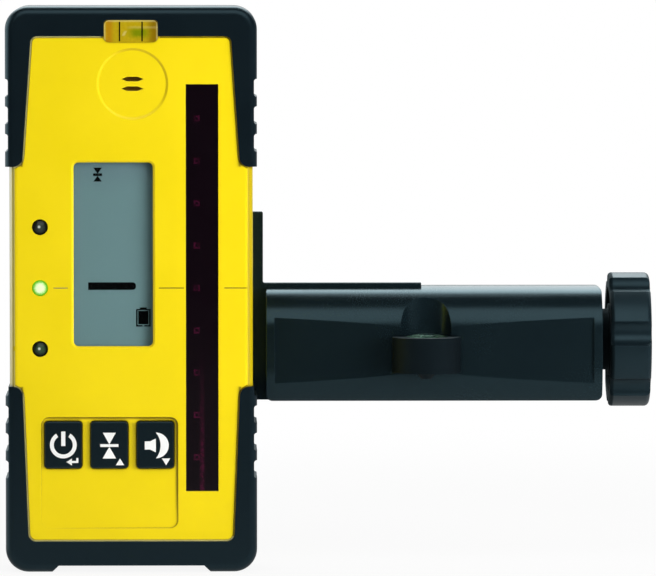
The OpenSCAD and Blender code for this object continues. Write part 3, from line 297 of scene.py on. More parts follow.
class Places:
    """Masks on the yellow case. Facing is 1 on faces that look along Y and 0 on the sides."""

    def __init__(self, finish):
        self.finish = finish
        self.low, self.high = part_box("front_case")
        self.keys_low, self.keys_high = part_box("power_key")[0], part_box("volume_key")[1]
        self.centre = (self.low.x + self.high.x) / 2
        self.x, y, self.z = finish.axes(finish.place)
        self.depth = y - self.low.y
        self.facing = abs(finish.axes(finish.add("ShaderNodeNewGeometry", out="Normal"))[1])
        self.front = finish.fall(self.depth, FRONT_DEEP, FRONT_DEEP + BLUR)
        self.left = finish.fall(self.x, self.centre - 4 * MM, self.centre + 4 * MM)
        self.off_grade_line = finish.rise(abs(self.z), 0.5 * MM, 0.9 * MM)

    def dish(self):
        """Outside the speaker's dish, and the far side of its rim, where shade is painted."""
        finish, middle = self.finish, middle_of(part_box("speaker"))
        across, along = self.x - middle.x, self.z - middle.z
        outside = finish.rise(length(across, along), DISH_RADIUS, DISH_RADIUS + 0.5 * MM)
        far = finish.rise(across + along, 0.0, 9 * MM)
        return outside, finish.fall(self.facing, 0.94, 0.98) * (1 - outside) * far * self.front

    def recess(self):
        """Outside the recess round the keys, below it, and its right and upper walls, where shade is
        painted.
        """
        finish, low, high = self.finish, self.keys_low, self.keys_high
        reach = (high.x - low.x) / 2 + RECESS_BESIDE
        beside = finish.rise(abs(self.x - (low.x + high.x) / 2), reach, reach + BLUR)
        below = finish.rise(low.z - RECESS_BELOW - self.z, 0.0, BLUR)
        above = finish.rise(self.z - high.z - RECESS_ABOVE, 0.0, BLUR)
        outside = (beside + below + above).math("MINIMUM", 1.0)
        end_x, end_z = high.x + 0.1 * MM, high.z + 0.2 * MM
        right = finish.rise(self.x, end_x - WALL_WIDE, end_x)
        right = right * finish.rise(self.z, low.z - 16 * MM, low.z - 4 * MM)
        upper = finish.rise(self.z, end_z - WALL_WIDE, end_z)
        upper = upper * finish.rise(self.x, low.x - 1 * MM, low.x + 4 * MM)
        within = finish.fall(self.x, end_x, end_x + 0.1 * MM) * finish.fall(self.z, end_z, end_z + 0.1 * MM)
        sunk = self.front * finish.rise(self.depth, 0.05 * MM, 0.15 * MM)
        return outside, below, right.math("MAXIMUM", upper) * within * sunk

    def step(self):
        """Flat faces as deep as the ledge beside the rubber, but for the bottom of the grade line."""
        level = self.finish.fall(abs(self.depth - LEDGE_DEEP), 0.08 * MM, 0.14 * MM)
        return level * self.finish.rise(self.facing, 0.8, 0.9) * self.off_grade_line

    def long_edges(self):
        """The steep part of the two long edges, and the turn between it and the face."""
        finish, inner = self.finish, (self.high.x - self.low.x) / 2 - EDGE_WIDE
        side = finish.rise(abs(self.x - self.centre), inner, inner + BLUR) * self.front
        turned = finish.rise(self.facing, 0.68, 0.8)
        steep = finish.rise(self.facing, 0.1, 0.25) * (1 - turned) * side
        return steep, turned * finish.fall(self.facing, 0.86, 0.99) * side


# %% [markdown]
# With the masks at hand each line is one layer of colour, painted over the plain yellow in turn. The left
# long edge also gets a clear coat, because what makes it pale is mostly the light that it mirrors; a
# painted reflection adds to it.

# %% Lines on the housing
# The colour of painted shade in inner corners, along seams and beside the ledge.
CORNER_SHADE = rgb(120, 92, 0)


def housing_lines(finish, tone):
    """Lays painted shade, painted highlights and a painted reflection over the plain tone of the yellow
    case.
    """
    at = Places(finish)
    off_dish, rim = at.dish()
    off_keys, below, walls = at.recess()
    # A painted highlight on the ledge beside the rubber, on the left half and below the keys.
    ledge = at.step() * off_dish * off_keys * at.left.math("MAXIMUM", below)
    steep, turn = at.long_edges()
    # The left long edge gets a real clear coat and a painted reflection.
    coat_and_painted_sheen = steep * at.left
    # Painted shade in inner corners and along seams, weaker on the grade line.
    corner_shade = finish.corners(1.0) * (1 - ledge) * (at.off_grade_line * 0.6 + 0.4)
    finish.set({"Coat Weight": coat_and_painted_sheen * 0.9})
    # Painted shade on the far rim of the dish, on the recess walls and in corners; a painted highlight on
    # the ledge, with painted shade at its walls; painted shade on the turn into both long edges and on the
    # right one; a painted reflection on the left one.
    for share, colour in (
            (rim * 0.5, rgb(186, 152, 0)),
            (walls * 0.75, rgb(140, 112, 0)),
            (corner_shade * 0.9, CORNER_SHADE),
            (ledge * 0.85, rgb(255, 250, 170)),
            (finish.corners(0.3) * ledge * 0.8, CORNER_SHADE),
            (turn * 0.6 + (steep - coat_and_painted_sheen) * 0.5, rgb(110, 90, 0)),
            (coat_and_painted_sheen * 0.35, rgb(248, 244, 220))):
        tone = finish.blend(share, tone, colour)
    return tone


yellow_case = moulded("yellow_case", rgb(247, 220, 2), rgb(250, 232, 90), rough=0.33, grain=0.26,
                      depth=0.006, edge=0.35, wear=0.35, lines=housing_lines,
                      constants={"Specular IOR Level": 0.35, "Coat IOR": 2.0, "Coat Roughness": 0.2})
dress(yellow_case, "front_case", "rear_case", "battery_door")

# %% [markdown]
# The two ends of the housing are overmoulded with black rubber that is duller than the yellow. The bracket
# is glass-filled nylon: as black as the rubber, but with a broad soft shine along the round top of the
# arm. The blacks differ mostly in roughness, so that is what is tuned, and each has its own grain size.
# Their shine is a little blue, as it is in daylight.

# %% Rubber and bracket
COOL = {"Specular Tint": (0.5, 0.86, 1.0, 1.0)}
black_rubber = moulded("black_rubber", rgb(11, 20, 26), rgb(58, 74, 80), rough=0.34, grain=0.2,
                       depth=0.012, edge=0.4, wear=0.45, constants=COOL)
black_plastic = moulded("black_plastic", rgb(13, 23, 27), rgb(46, 63, 70), rough=0.24, grain=0.34,
                        depth=0.002, edge=0.35, wear=0.25, constants=COOL)
key_plastic = moulded("key_plastic", rgb(12, 21, 26), rgb(50, 66, 72), rough=0.34, grain=0.22,
                      depth=0.006, edge=0.3, wear=0.3, constants=COOL)
cup_plastic = moulded("cup_plastic", rgb(10, 16, 20), rgb(40, 54, 60), rough=0.55, grain=0.3,
                      depth=0.004, edge=0.3, wear=0.3, constants={**COOL, "Specular IOR Level": 0.2})
seal_rubber = moulded("seal_rubber", rgb(16, 18, 19), rgb(48, 50, 52), rough=0.7, grain=0.25,
                      depth=0.012, edge=0.2, wear=0.3)
dress(black_rubber, "top_bumper", "bottom_bumper")
dress(black_plastic, "mount_plate", "clamp_arm", "sliding_jaw")
dress(cup_plastic, "level_cup", "level_screw")
dress(key_plastic, "power_key", "band_key", "volume_key")
dress(seal_rubber, "case_seal", "door_seal", "keypad_mat", "speaker_gasket")

# %% [markdown]
# The pads of the clamp are softer rubber with fine ribs across, so that they bite on a wooden or an
# alloy rod. The ribs are far too fine to model: a wave along the height feeds the bump.

# %% Ribbed pads
def ribbed_rubber(pitch, depth):
    finish = Finish("pad_rubber", {"Specular IOR Level": 0.4})
    _, _, z = finish.axes(finish.place)
    ribs = abs((z / (pitch * MM)).math("FRACT") - 0.5) * 2
    fine = finish.noise(0.3, 3.0)
    soft, _ = finish.soft_edges(0.2)
    dusty = (1 - ribs) * finish.rise(finish.noise(3.0, 4.0), 0.3, 0.8)
    finish.set({
        "Base Color": finish.blend(dusty * 0.5, rgb(20, 23, 25), rgb(66, 66, 62)),
        "Roughness": 0.62 + (fine - 0.5) * 0.2,
        "Normal": finish.bump(ribs + fine * 0.1, depth, soft),
    })
    return finish.material


dress(ribbed_rubber(1.4, 0.35), "fixed_pad", "sliding_pad")

# %% [markdown]
# Both knobs are moulded in a softer black with a coarser grain, so that a gloved hand can turn them. The
# hollow inner side that faces the arm is dull as the mould leaves it, and painted shade makes it dark.

# %% Knobs
def grip(name, inner_end, colour):
    """A knob's finish along X: dull and darkened by painted shade up to inner_end, satin beyond it."""
    finish = Finish(name, COOL)
    x, _, _ = finish.axes(finish.place)
    inside = finish.fall(x, inner_end - 0.3 * MM, inner_end + 0.3 * MM)
    grain, cloud = finish.noise(0.45, 3.0), finish.noise(16.0, 3.0)
    soft, edges = finish.soft_edges(0.45)
    rubbed = finish.rubbed(edges, 4.0) * 0.4 * (1 - inside)
    tone = finish.blend(cloud, shade(colour, 0.92), shade(colour, 1.06))
    worn = finish.blend(rubbed, tone, shade(colour, 5.0))
    finish.set({
        # Painted shade darkens the hollow inner side; its higher roughness is real.
        "Base Color": finish.blend(inside, worn, shade(colour, 0.35)),
        "Roughness": 0.38 + (cloud - 0.5) * 0.14 + (grain - 0.5) * 0.1 + inside * 0.5,
        "Normal": finish.bump(grain, 0.009, soft),
    })
    return finish.material


KNOB_BLACK = rgb(14, 24, 29)
GRIP_LONG, NO_HOLLOW = 10 * MM, -1.0
dress(grip("knob_plastic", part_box("knob_cap")[0].x - GRIP_LONG, KNOB_BLACK), "clamp_knob", "knob_cap")
dress(grip("lock_plastic", NO_HOLLOW, KNOB_BLACK), "lock_knob")
low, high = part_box("clamp_knob")
print("grip of the clamp knob", round((high - low).z / MM, 1), "mm across")

# %% [markdown]
# Metal parts are turned or rolled, so their scratches run one way. Stretching a noise along one axis
# gives brushed lines; the same noise drives the roughness, and small darker spots stand for handling.

# %% Metals
def metal(name, colour, rough, stretch):
    """Bare metal whose fine lines are close together along the axes with a large stretch."""
    finish = Finish(name, {"Metallic": 1.0})
    turned = finish.add("ShaderNodeMapping", {}, {"Vector": finish.place, "Scale": stretch})
    lines = finish.add("ShaderNodeTexNoise", {}, {
        "Vector": turned, "Scale": 1 / (0.5 * MM), "Detail": 4.0})
    spots = finish.rise(finish.noise(3.0, 4.0), 0.5, 0.8)
    soft, _ = finish.soft_edges(0.15)
    finish.set({
        "Base Color": finish.blend(spots * 0.5 + (lines - 0.5) * 0.3, colour, shade(colour, 0.6)),
        "Roughness": rough + (lines - 0.5) * 0.25 + spots * 0.15,
        "Normal": finish.bump(lines, 0.004, soft),
    })
    return finish.material


steel = metal("steel", rgb(196, 198, 200), 0.3, (3.0, 0.25, 0.25))
brass = metal("brass", rgb(206, 168, 92), 0.32, (0.3, 2.0, 2.0))
dress(steel, "board_screws", "case_screws", "screw_clip", "lock_washer", "battery_contacts",
      "tact_switches")
dress(brass, "mount_insert", "clamp_nut", "speaker")

# %% [markdown]
# Behind the battery door and the face lie pieces that show only through a slot or with the door open:
# the cells with their plain wrap, the circuit board and the display's light guide.

# %% Inner pieces
WRAP_HALF = 21.5 * MM


def cell_wrap():
    finish = Finish("cell", {"Coat Weight": 0.3})
    x, _, _ = finish.axes(finish.place)
    middle = middle_of(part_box("batteries"))
    wrapped = finish.fall(abs(x - middle.x), WRAP_HALF, WRAP_HALF + 0.3 * MM)
    scuff = finish.rise(finish.noise(2.5, 5.0), 0.45, 0.75)
    finish.set({
        "Base Color": finish.blend(wrapped, rgb(176, 178, 180), rgb(38, 62, 96)),
        "Metallic": 1 - wrapped,
        "Roughness": 0.3 + scuff * 0.25,
        "Normal": finish.bump(scuff, 0.01),
    })
    return finish.material


def circuit_board():
    finish = Finish("board")
    from_edge = finish.add("ShaderNodeTexVoronoi", {"feature": "DISTANCE_TO_EDGE"},
                           {"Vector": finish.place, "Scale": 1 / (4 * MM)})
    track = finish.fall(from_edge, 0.05, 0.09)
    finish.set({
        "Base Color": finish.blend(track, rgb(14, 62, 38), rgb(30, 96, 60)),
        "Roughness": 0.35 + finish.noise(0.6) * 0.2,
        "Normal": finish.bump(track, 0.03),
    })
    return finish.material


white_plastic = moulded("white_plastic", rgb(232, 232, 226), rgb(245, 245, 240), rough=0.4, grain=0.4,
                        depth=0.006, edge=0.2, wear=0.2)
dress(cell_wrap(), "batteries")
dress(circuit_board(), "main_board")
dress(white_plastic, "display_backlight")

# %% [markdown]
# Clear pieces let light through, and a glass shader would leave what lies behind them in a noisy
# shadow. Making the glass vanish for shadow rays alone keeps the clear look and lights the display
# behind it as the real lens does. The lens of the round level has the same finish.

# %% Clear pieces
def clear(name, tint, rough):
    finish = Finish(name, {"Transmission Weight": 1.0, "IOR": 1.47})
    shadow = finish.add("ShaderNodeLightPath", out="Is Shadow Ray")
    smear = finish.rise(finish.noise(9.0, 4.0), 0.5, 0.8)
    finish.set({
        "Base Color": finish.blend(smear * 0.25, tint, shade(tint, 0.93)),
        "Roughness": rough + smear * 0.05,
        "Alpha": 1 - shadow,
        "Normal": finish.bump(finish.noise(6.0), 0.01),
    })
    return finish.material


clear_lens = clear("clear_lens", (0.96, 0.98, 0.97, 1.0), 0.03)
dress(clear_lens, "level_lens")

# %% [markdown]
# The display is a reflective liquid-crystal panel: a grey-green sheet with a faint sparkle, darker
# towards its upper edge where the sloped window shades it. The sensor window is a filter that is
# nearly black, and through it one just sees the photodiodes as dull magenta spots.

# %% Display panel and sensor window
SHADE_LONG = 12 * MM
DIODE_PITCH, DIODE_LEFT, DIODE_HALF = 12.8 * MM, 1.6 * MM, 0.65 * MM


def display_panel():
    finish = Finish("display", {"Specular IOR Level": 0.2})
    _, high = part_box("display_panel")
    _, _, z = finish.axes(finish.place)
    shaded = finish.rise(z, high.z - SHADE_LONG, high.z) * 0.35
    sparkle = finish.noise(0.25)
    tone = finish.blend(sparkle, rgb(106, 136, 140), rgb(113, 144, 147))
    finish.set({
        "Base Color": finish.blend(shaded, tone, rgb(98, 116, 130)),
        "Roughness": 0.45 + sparkle * 0.2,
        "Normal": finish.bump(sparkle, 0.004),
    })
    return finish.material


def dark_filter():
    finish = Finish("dark_filter", {"IOR": 1.5})
    middle = middle_of(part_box("sensor_window"))
    x, _, z = finish.axes(finish.place)
    across = x - middle.x
    turn = ((z - middle.z) / DIODE_PITCH + 0.5).math("FRACT") - 0.5
    reach = (abs(turn) * DIODE_PITCH).math("MAXIMUM", abs(across + DIODE_LEFT))
    chip = finish.fall(abs(reach - DIODE_HALF), 0.1 * MM, 0.45 * MM)
    lower = finish.fall(z, middle.z - 58 * MM, middle.z - 16 * MM)
    streak = lower * finish.fall(abs(across), 0.1 * MM, 1.1 * MM)
    uneven = 0.3 + finish.rise(finish.noise(1.6, 3.0), 0.35, 0.7) * 0.7
    glow = chip * uneven * 0.5 + streak * uneven * 0.5
    finish.set({
        "Base Color": finish.blend(glow, rgb(14, 6, 12), rgb(84, 16, 52)),
        "Roughness": 0.09 + finish.rise(finish.noise(14.0, 4.0), 0.45, 0.8) * 0.08,
        "Normal": finish.bump(finish.noise(20.0), 0.01),
    })
    return finish.material


dress(display_panel(), "display_panel")
dress(dark_filter(), "sensor_window")
dress(metal("diode", rgb(92, 30, 58), 0.35, (1.0, 1.0, 1.0)), "photodiodes")

# %% [markdown]
# Three lamps beside the display tell whether the beam is above, on or below grade. Two are off and look
# smoked; the middle one is lit. A lit lamp is brightest over its chip and greener at the rim, so
# the glow depends on the distance from the lamp's own axis.

# %% Indicator lamps
def from_axis(finish, node):
    """Across, along and straight distance from the axis of a lamp that looks along -Y."""
    x, _, z = finish.axes(finish.place)
    middle = middle_of(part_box(node))
    across, along = x - middle.x, z - middle.z
    return across, along, length(across, along)


def lamp_off(name, node, colour):
    """A smoked dome: dark at the rim, clearer over the chip, with a painted highlight as a small bright
    spot.
    """
    finish = Finish(name, {"IOR": 1.5, "Specular IOR Level": 0.3})
    cloud = finish.noise(1.6, 3.0)
    across, along, away = from_axis(finish, node)
    rim = finish.rise(away + (cloud - 0.5) * 0.5 * MM, 0.7 * MM, 1.9 * MM)
    # A painted highlight: a small bright spot just off the middle of the dome.
    from_highlight = length(across + 0.25 * MM, along - 0.1 * MM)
    spot = finish.fall(from_highlight, 0.15 * MM, 0.6 * MM)
    tone = finish.blend(rim, shade(colour, 0.8), shade(colour, 0.1))
    finish.set({
        "Base Color": finish.blend(spot * 0.9, tone, rgb(214, 222, 208)),
        "Roughness": 0.14 + cloud * 0.12,
        "Normal": finish.bump(cloud, 0.02),
    })
    return finish.material


def lamp_lit():
    finish = Finish("lamp_lit", {"Emission Strength": 1.0, "Roughness": 0.2})
    _, _, away = from_axis(finish, "lamp_grade")
    cloud = finish.noise(0.5, 3.0)
    rim = finish.rise(away + (cloud - 0.5) * 0.9 * MM, 0.9 * MM, 2.2 * MM)
    finish.set({
        "Base Color": finish.blend(rim, rgb(120, 140, 90), rgb(60, 96, 20)),
        "Emission Color": finish.blend(rim, (0.76, 0.95, 0.52, 1.0), (0.1, 0.46, 0.003, 1.0)),
    })
    return finish.material


dress(lamp_off("lamp_off", "lamp_high", rgb(58, 66, 56)), "lamp_high")
dress(lamp_off("lamp_off_green", "lamp_low", rgb(58, 84, 56)), "lamp_low")
dress(lamp_lit(), "lamp_grade")

# %% [markdown]
# A tube level sits in the yellow tab at the top, and a round level in the cup on the arm. Their liquids are
# dyed so that the bubble shows, yellow-green in the tube and pale green in the cup. Seen through the
# block the tube is amber towards its ends, where the plug and the wall darken it.

# %% Liquids of the two levels
def level_fluid(name, node, middle_colour, end_colour, inner, outer):
    """Dyed liquid: one colour in the middle of a node and another towards its ends."""
    finish = Finish(name, {"Coat Weight": 0.5, "IOR": 1.4})
    x, _, _ = finish.axes(finish.place)
    ends = finish.rise(abs(x - middle_of(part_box(node)).x), inner * MM, outer * MM)
    swirl = finish.noise(1.4, 3.0)
    finish.set({
        "Base Color": finish.blend(ends * 0.8 + (swirl - 0.5) * 0.5, middle_colour, end_colour),
        "Roughness": 0.1 + swirl * 0.1,
        "Normal": finish.bump(swirl, 0.03),
    })
    return finish.material


def vial_acrylic():
    """The clear block over the dyed tube: amber ends, a green bubble, and painted highlights along its
    rims, in a streak and as a glint.
    """
    finish = Finish("vial_acrylic", {"Coat Weight": 0.6, "IOR": 1.49})
    middle = middle_of(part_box("vial_block"))
    x, _, z = finish.axes(finish.place)
    across, up = x - middle.x, z - middle.z
    swirl = finish.noise(0.9, 4.0)
    wavy = (swirl - 0.5) * 0.9 * MM

    def band(value, centre, inner, outer):
        """1 within inner millimetres of the centre, 0 beyond outer."""
        return finish.fall(abs(value - centre * MM), inner * MM, outer * MM)

    left = band(across + wavy, -6.6, 0.2, 1.8)
    right = finish.rise(across + wavy, 3.6 * MM, 7.0 * MM)
    bubble = band(across + wavy, 2.4, 0.8, 4.4) * band(up + wavy, -0.5, 0.3, 2.2)
    # The shine, the glint and the pale rims are painted highlights.
    shine = band(up + wavy * 0.6, 1.15, 0.1, 0.6) * finish.rise(across, -2 * MM, 1 * MM) * 0.15
    glint = band(across - up * 0.5 + wavy * 0.4, -1.6, 0.1, 0.7) * band(up, -0.7, 0.3, 1.0) * 0.45
    ends, top = finish.rise(abs(across), 7.4 * MM, 8.0 * MM), finish.rise(up, 2.6 * MM, 3.1 * MM)
    rim = ends.math("MAXIMUM", top)
    tone = finish.blend(swirl, rgb(206, 180, 24), rgb(178, 150, 12))
    tone = finish.blend(left * 0.55, tone, rgb(184, 104, 10))
    tone = finish.blend(right * 0.8, tone, rgb(126, 92, 6))
    tone = finish.blend(bubble * 0.9, tone, rgb(128, 148, 6))
    tone = finish.blend((shine + glint + rim * 0.45).math("MINIMUM", 1.0), tone, rgb(232, 220, 140))
    finish.set({
        "Base Color": tone,
        "Alpha": 0.94 - bubble * 0.12,
        "Roughness": 0.08 + swirl * 0.08,
        "Normal": finish.bump(swirl, 0.02),
    })
    return finish.material


vial_fluid = level_fluid("level_fluid", "vial_liquid", rgb(190, 192, 24), rgb(206, 150, 10), 2.6, 6.8)
round_fluid = level_fluid("round_fluid", "level_liquid", rgb(176, 214, 196), rgb(104, 140, 124), 2.0, 6.0)
vial_end = moulded("vial_end", rgb(190, 112, 14), rgb(210, 150, 60), rough=0.4, grain=0.3, depth=0.01,
                   edge=0.2, wear=0.2)
dress(vial_fluid, "vial_liquid")
dress(round_fluid, "level_liquid")
dress(vial_acrylic(), "vial_block")
dress(vial_end, "vial_plug")

# %% [markdown]
# New pieces all end the same way: merged, with their normals outward, smooth but for sharp corners, with
# their place in the mesh and the object at the origin. Then they ride on a CAD body.

# %% Finishing a new piece
SHARP_ANGLE = math.radians(35)


def added(name, data):
    """A new object in the scene."""
    made = bpy.data.objects.new(name, data)
    bpy.context.scene.collection.objects.link(made)
    return made


def to_mesh(shape, name):
    """Ends a bmesh as a mesh of that name."""
    mesh = bpy.data.meshes.new(name)
    shape.to_mesh(mesh)
    shape.free()
    return mesh


def piece(name, mesh, material, body, replaces=()):
    """A finished object that moves with a CAD body."""
    shape = bmesh.new()
    shape.from_mesh(mesh)
    bmesh.ops.remove_doubles(shape, verts=shape.verts, dist=1e-7)
    bmesh.ops.recalc_face_normals(shape, faces=shape.faces)
    shape.to_mesh(mesh)
    shape.free()
    mesh.polygons.foreach_set("use_smooth", [True] * len(mesh.polygons))
    mesh.set_sharp_from_angle(angle=SHARP_ANGLE)
    mesh.materials.clear()
    mesh.materials.append(material)
    made = added(name, mesh)
    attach(made, body)
    if replaces:
        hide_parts(*replaces)
    print(name, "with", len(mesh.polygons), "faces rides on", body)


# %% [markdown]
# The signs on the keys and on the display are flat prints. A texture could draw them, but geometry stays
# sharp at any size: each outline becomes a face, and a face pulled out by a few hundredths of a
# millimetre becomes a thin plate that sits on the surface.

# %% Flat signs
SINK = 0.02


def arc(x, z, radius, start, end, steps=28):
    """Points of an arc between two angles in degrees."""
    angles = [math.radians(start + (end - start) * i / steps) for i in range(steps + 1)]
    return [(x + radius * math.cos(a), z + radius * math.sin(a)) for a in angles]


def bar(x0, z0, x1, z1):
    return [(x0, z0), (x1, z0), (x1, z1), (x0, z1)]


def sign(name, outlines, middle, front, material, body, thick=0.05):
    """Plates from outlines in millimetres round a middle, on a face that looks along -Y."""
    shape = bmesh.new()
    for outline in outlines:
        shape.faces.new([shape.verts.new((middle.x + x * MM, front + SINK * MM, middle.z + z * MM))
                         for x, z in outline])
    lifted = bmesh.ops.extrude_face_region(shape, geom=list(shape.faces), use_keep_orig=True)
    moved = [part for part in lifted["geom"] if isinstance(part, bmesh.types.BMVert)]
    bmesh.ops.translate(shape, verts=moved, vec=(0, -(thick + SINK) * MM, 0))
    piece(name, to_mesh(shape, name), material, body)


print("an arc has", len(arc(0, 0, 1, 0, 90)), "points")

# %% [markdown]
# Each key carries its main sign and, at its lower right, a small one for use in the menu: switch on and
# enter, reading width and up, sound and down. They are generic symbols, printed in white.

# %% Signs on the keys
POWER = [arc(0, 0, 4.05, 58, -238, 48) + arc(0, 0, 2.85, -238, 58, 48), bar(-0.62, -0.3, 0.62, 4.1)]
ENTER = [[(0.9, -5.15), (2.6, -4.1), (2.6, -4.8), (3.9, -4.8), (3.9, -3.9),
          (4.55, -3.9), (4.55, -5.45), (2.6, -5.45), (2.6, -6.2)]]
WIDTH = [[(-1.95, 3.7), (1.95, 3.7), (0.0, 0.2)], bar(-2.75, -0.6, 2.75, 0.25),
         [(-2.05, -4.1), (2.05, -4.1), (0.0, -0.55)]]
UP = [[(1.95, -6.15), (4.5, -6.15), (3.22, -4.1)]]
SOUND = [[(-3.2, -1.4), (-1.6, -1.4), (0.15, -2.25), (0.15, 1.95), (-1.6, 1.1), (-3.2, 1.1)],
         arc(0.15, -0.15, 3.9, 90, -90) + arc(-4.6, -0.15, 6.15, -39, 39)]
DOWN = [[(1.95, -4.1), (4.5, -4.1), (3.22, -6.15)]]
sign_white = moulded("sign_white", rgb(250, 252, 251), rgb(206, 210, 208), rough=0.5, grain=0.15,
                     depth=0.004, edge=0.1, wear=0.3)
for key, marks in (("power_key", POWER + ENTER), ("band_key", WIDTH + UP), ("volume_key", SOUND + DOWN)):
    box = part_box(key)
    sign(key + "_sign", marks, middle_of(box), box[0].y, sign_white, key)

# %% [markdown]
# The display shows that the beam is on grade: a long bar in the middle of the scale, the reading width
# above it and a battery sign at the lower right. Real segments lie in the glass just over the
# panel, so the plates sit on the panel, under the lens.

# %% Signs on the display
FINE_X, FINE_Z = -4.7, 24.0
FINE = [[(-1.3, 2.15), (1.3, 2.15), (0.0, 0.3)], bar(-1.35, -0.38, 1.35, 0.42),
        [(-1.3, -2.05), (1.3, -2.05), (0.0, -0.3)]]
FINE = [[(x + FINE_X, z + FINE_Z) for x, z in outline] for outline in FINE]
BEAM = [[(-7.6, -10.8)] + arc(5.85, -9.8, 1.0, -90, 0, 6) + arc(5.85, -9.5, 1.0, 0, 90, 6) + [(-7.6, -8.5)]]
BATTERY = [bar(6.85, -21.9, 7.3, -16.6), bar(10.8, -21.9, 11.25, -16.6), bar(7.3, -21.9, 8.8, -21.45),
           bar(9.3, -21.9, 10.8, -21.45), bar(7.3, -17.0, 8.0, -16.6), bar(10.1, -17.0, 10.8, -16.6),
           bar(7.5, -21.2, 10.6, -17.15), bar(8.0, -16.9, 10.1, -16.1)]
segment_black = moulded("segment_black", rgb(3, 4, 5), rgb(16, 18, 20), rough=0.3, grain=0.3, depth=0.002,
                        edge=0.1, wear=0.1, constants={"Specular IOR Level": 0.05})
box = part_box("display_panel")
sign("display_segments", FINE + BEAM + BATTERY, middle_of(box), box[0].y, segment_black, "receiver",
     thick=0.02)

# %% [markdown]
# The lens over the display is a flat sheet with rounded corners. Its CAD solid touches the panel, and two
# surfaces in the same place flicker in a render, so a sheet that ends a little in front of the
# panel stands for it.

# %% Lens over the display
CORNER_RADIUS = 2.0
OFF_PANEL = 0.1 * MM


def sheet(name, box, back, material, body, replaces):
    """A flat sheet with rounded corners, from the front of a box to a depth."""
    low, high = box
    middle, half = middle_of(box), (high - low) / 2 / MM
    w, h = half.x - CORNER_RADIUS, half.z - CORNER_RADIUS
    outline = [point for i, (x, z) in enumerate(((w, h), (-w, h), (-w, -h), (w, -h)))
               for point in arc(x, z, CORNER_RADIUS, 90 * i, 90 * i + 90, 8)]
    shape = bmesh.new()
    rings = [[shape.verts.new((middle.x + x * MM, y, middle.z + z * MM)) for x, z in outline]
             for y in (low.y, back)]
    for ring in rings:
        shape.faces.new(ring)
    for i in range(len(outline)):
        j = (i + 1) % len(outline)
        shape.faces.new((rings[0][i], rings[0][j], rings[1][j], rings[1][i]))
    piece(name, to_mesh(shape, name), material, body, replaces)


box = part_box("display_lens")
sheet("display_cover", box, box[1].y - OFF_PANEL, clear_lens, "receiver", ["display_lens"])

# %% [markdown]
# Two black lines on the tube level mark where the bubble has to stand. They are printed on the clear
# block, so they are signs as well.

# %% Marks on the tube level
VIAL_MARKS = [bar(x - 0.2, -3.05, x + 0.2, 2.85) for x in (-3.4, 3.4)]
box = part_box("vial_block")
sign("vial_lines", VIAL_MARKS, middle_of(box), box[0].y, segment_black, "receiver")

# %% [markdown]
# The clamp screw has a coarse trapezoid thread of 4 mm pitch. It follows a rule, so Geometry Nodes make
# it: a flat grid is rolled into a tube, and the radius of each point comes from its place along the
# screw and its angle. The first and last rows close to a point and become the ends.

# %% A tree for threads
class Shape(Graph):
    """A Geometry Nodes tree with named inputs."""

    def __init__(self, name, inputs):
        super().__init__(bpy.data.node_groups.new(name, "GeometryNodeTree"))
        for label, (kind, value) in inputs.items():
            socket = self.tree.interface.new_socket(
                name=label, in_out="INPUT", socket_type="NodeSocket" + kind)
            if value is not None:
                socket.default_value = value
        self.tree.interface.new_socket(
            name="Geometry", in_out="OUTPUT", socket_type="NodeSocketGeometry")
        self.entry = self.tree.nodes.new("NodeGroupInput")

    def __getitem__(self, label):
        return Value(self, self.entry.outputs[label])

    def close(self, geometry):
        """Ends the tree: real mesh, one material, output."""
        real = self.add("GeometryNodeRealizeInstances", {}, {0: geometry})
        painted = self.add("GeometryNodeSetMaterial", {}, {"Geometry": real, "Material": self["Material"]})
        self.add("NodeGroupOutput", {}, {0: painted}, out=None)

    def make(self, name, values, start=None):
        """The tree's result as a plain mesh. Inputs are set by identifier, before the first evaluation."""
        host = added(name, start or bpy.data.meshes.new(name))
        modifier = host.modifiers.new(name, "NODES")
        modifier.node_group = self.tree
        for item in self.tree.interface.items_tree:
            if item.in_out == "INPUT" and item.name in values:
                modifier[item.identifier] = values[item.name]
        bpy.context.view_layer.update()
        done = host.evaluated_get(bpy.context.evaluated_depsgraph_get())
        mesh = bpy.data.meshes.new_from_object(done)
        host.modifiers.remove(modifier)
        bpy.data.objects.remove(host)
        return mesh


ROOT_SHARE, FLANK_SHARE = 0.32, 0.3


def clamped(value):
    return value.math("MAXIMUM", 0.0).math("MINIMUM", 1.0)


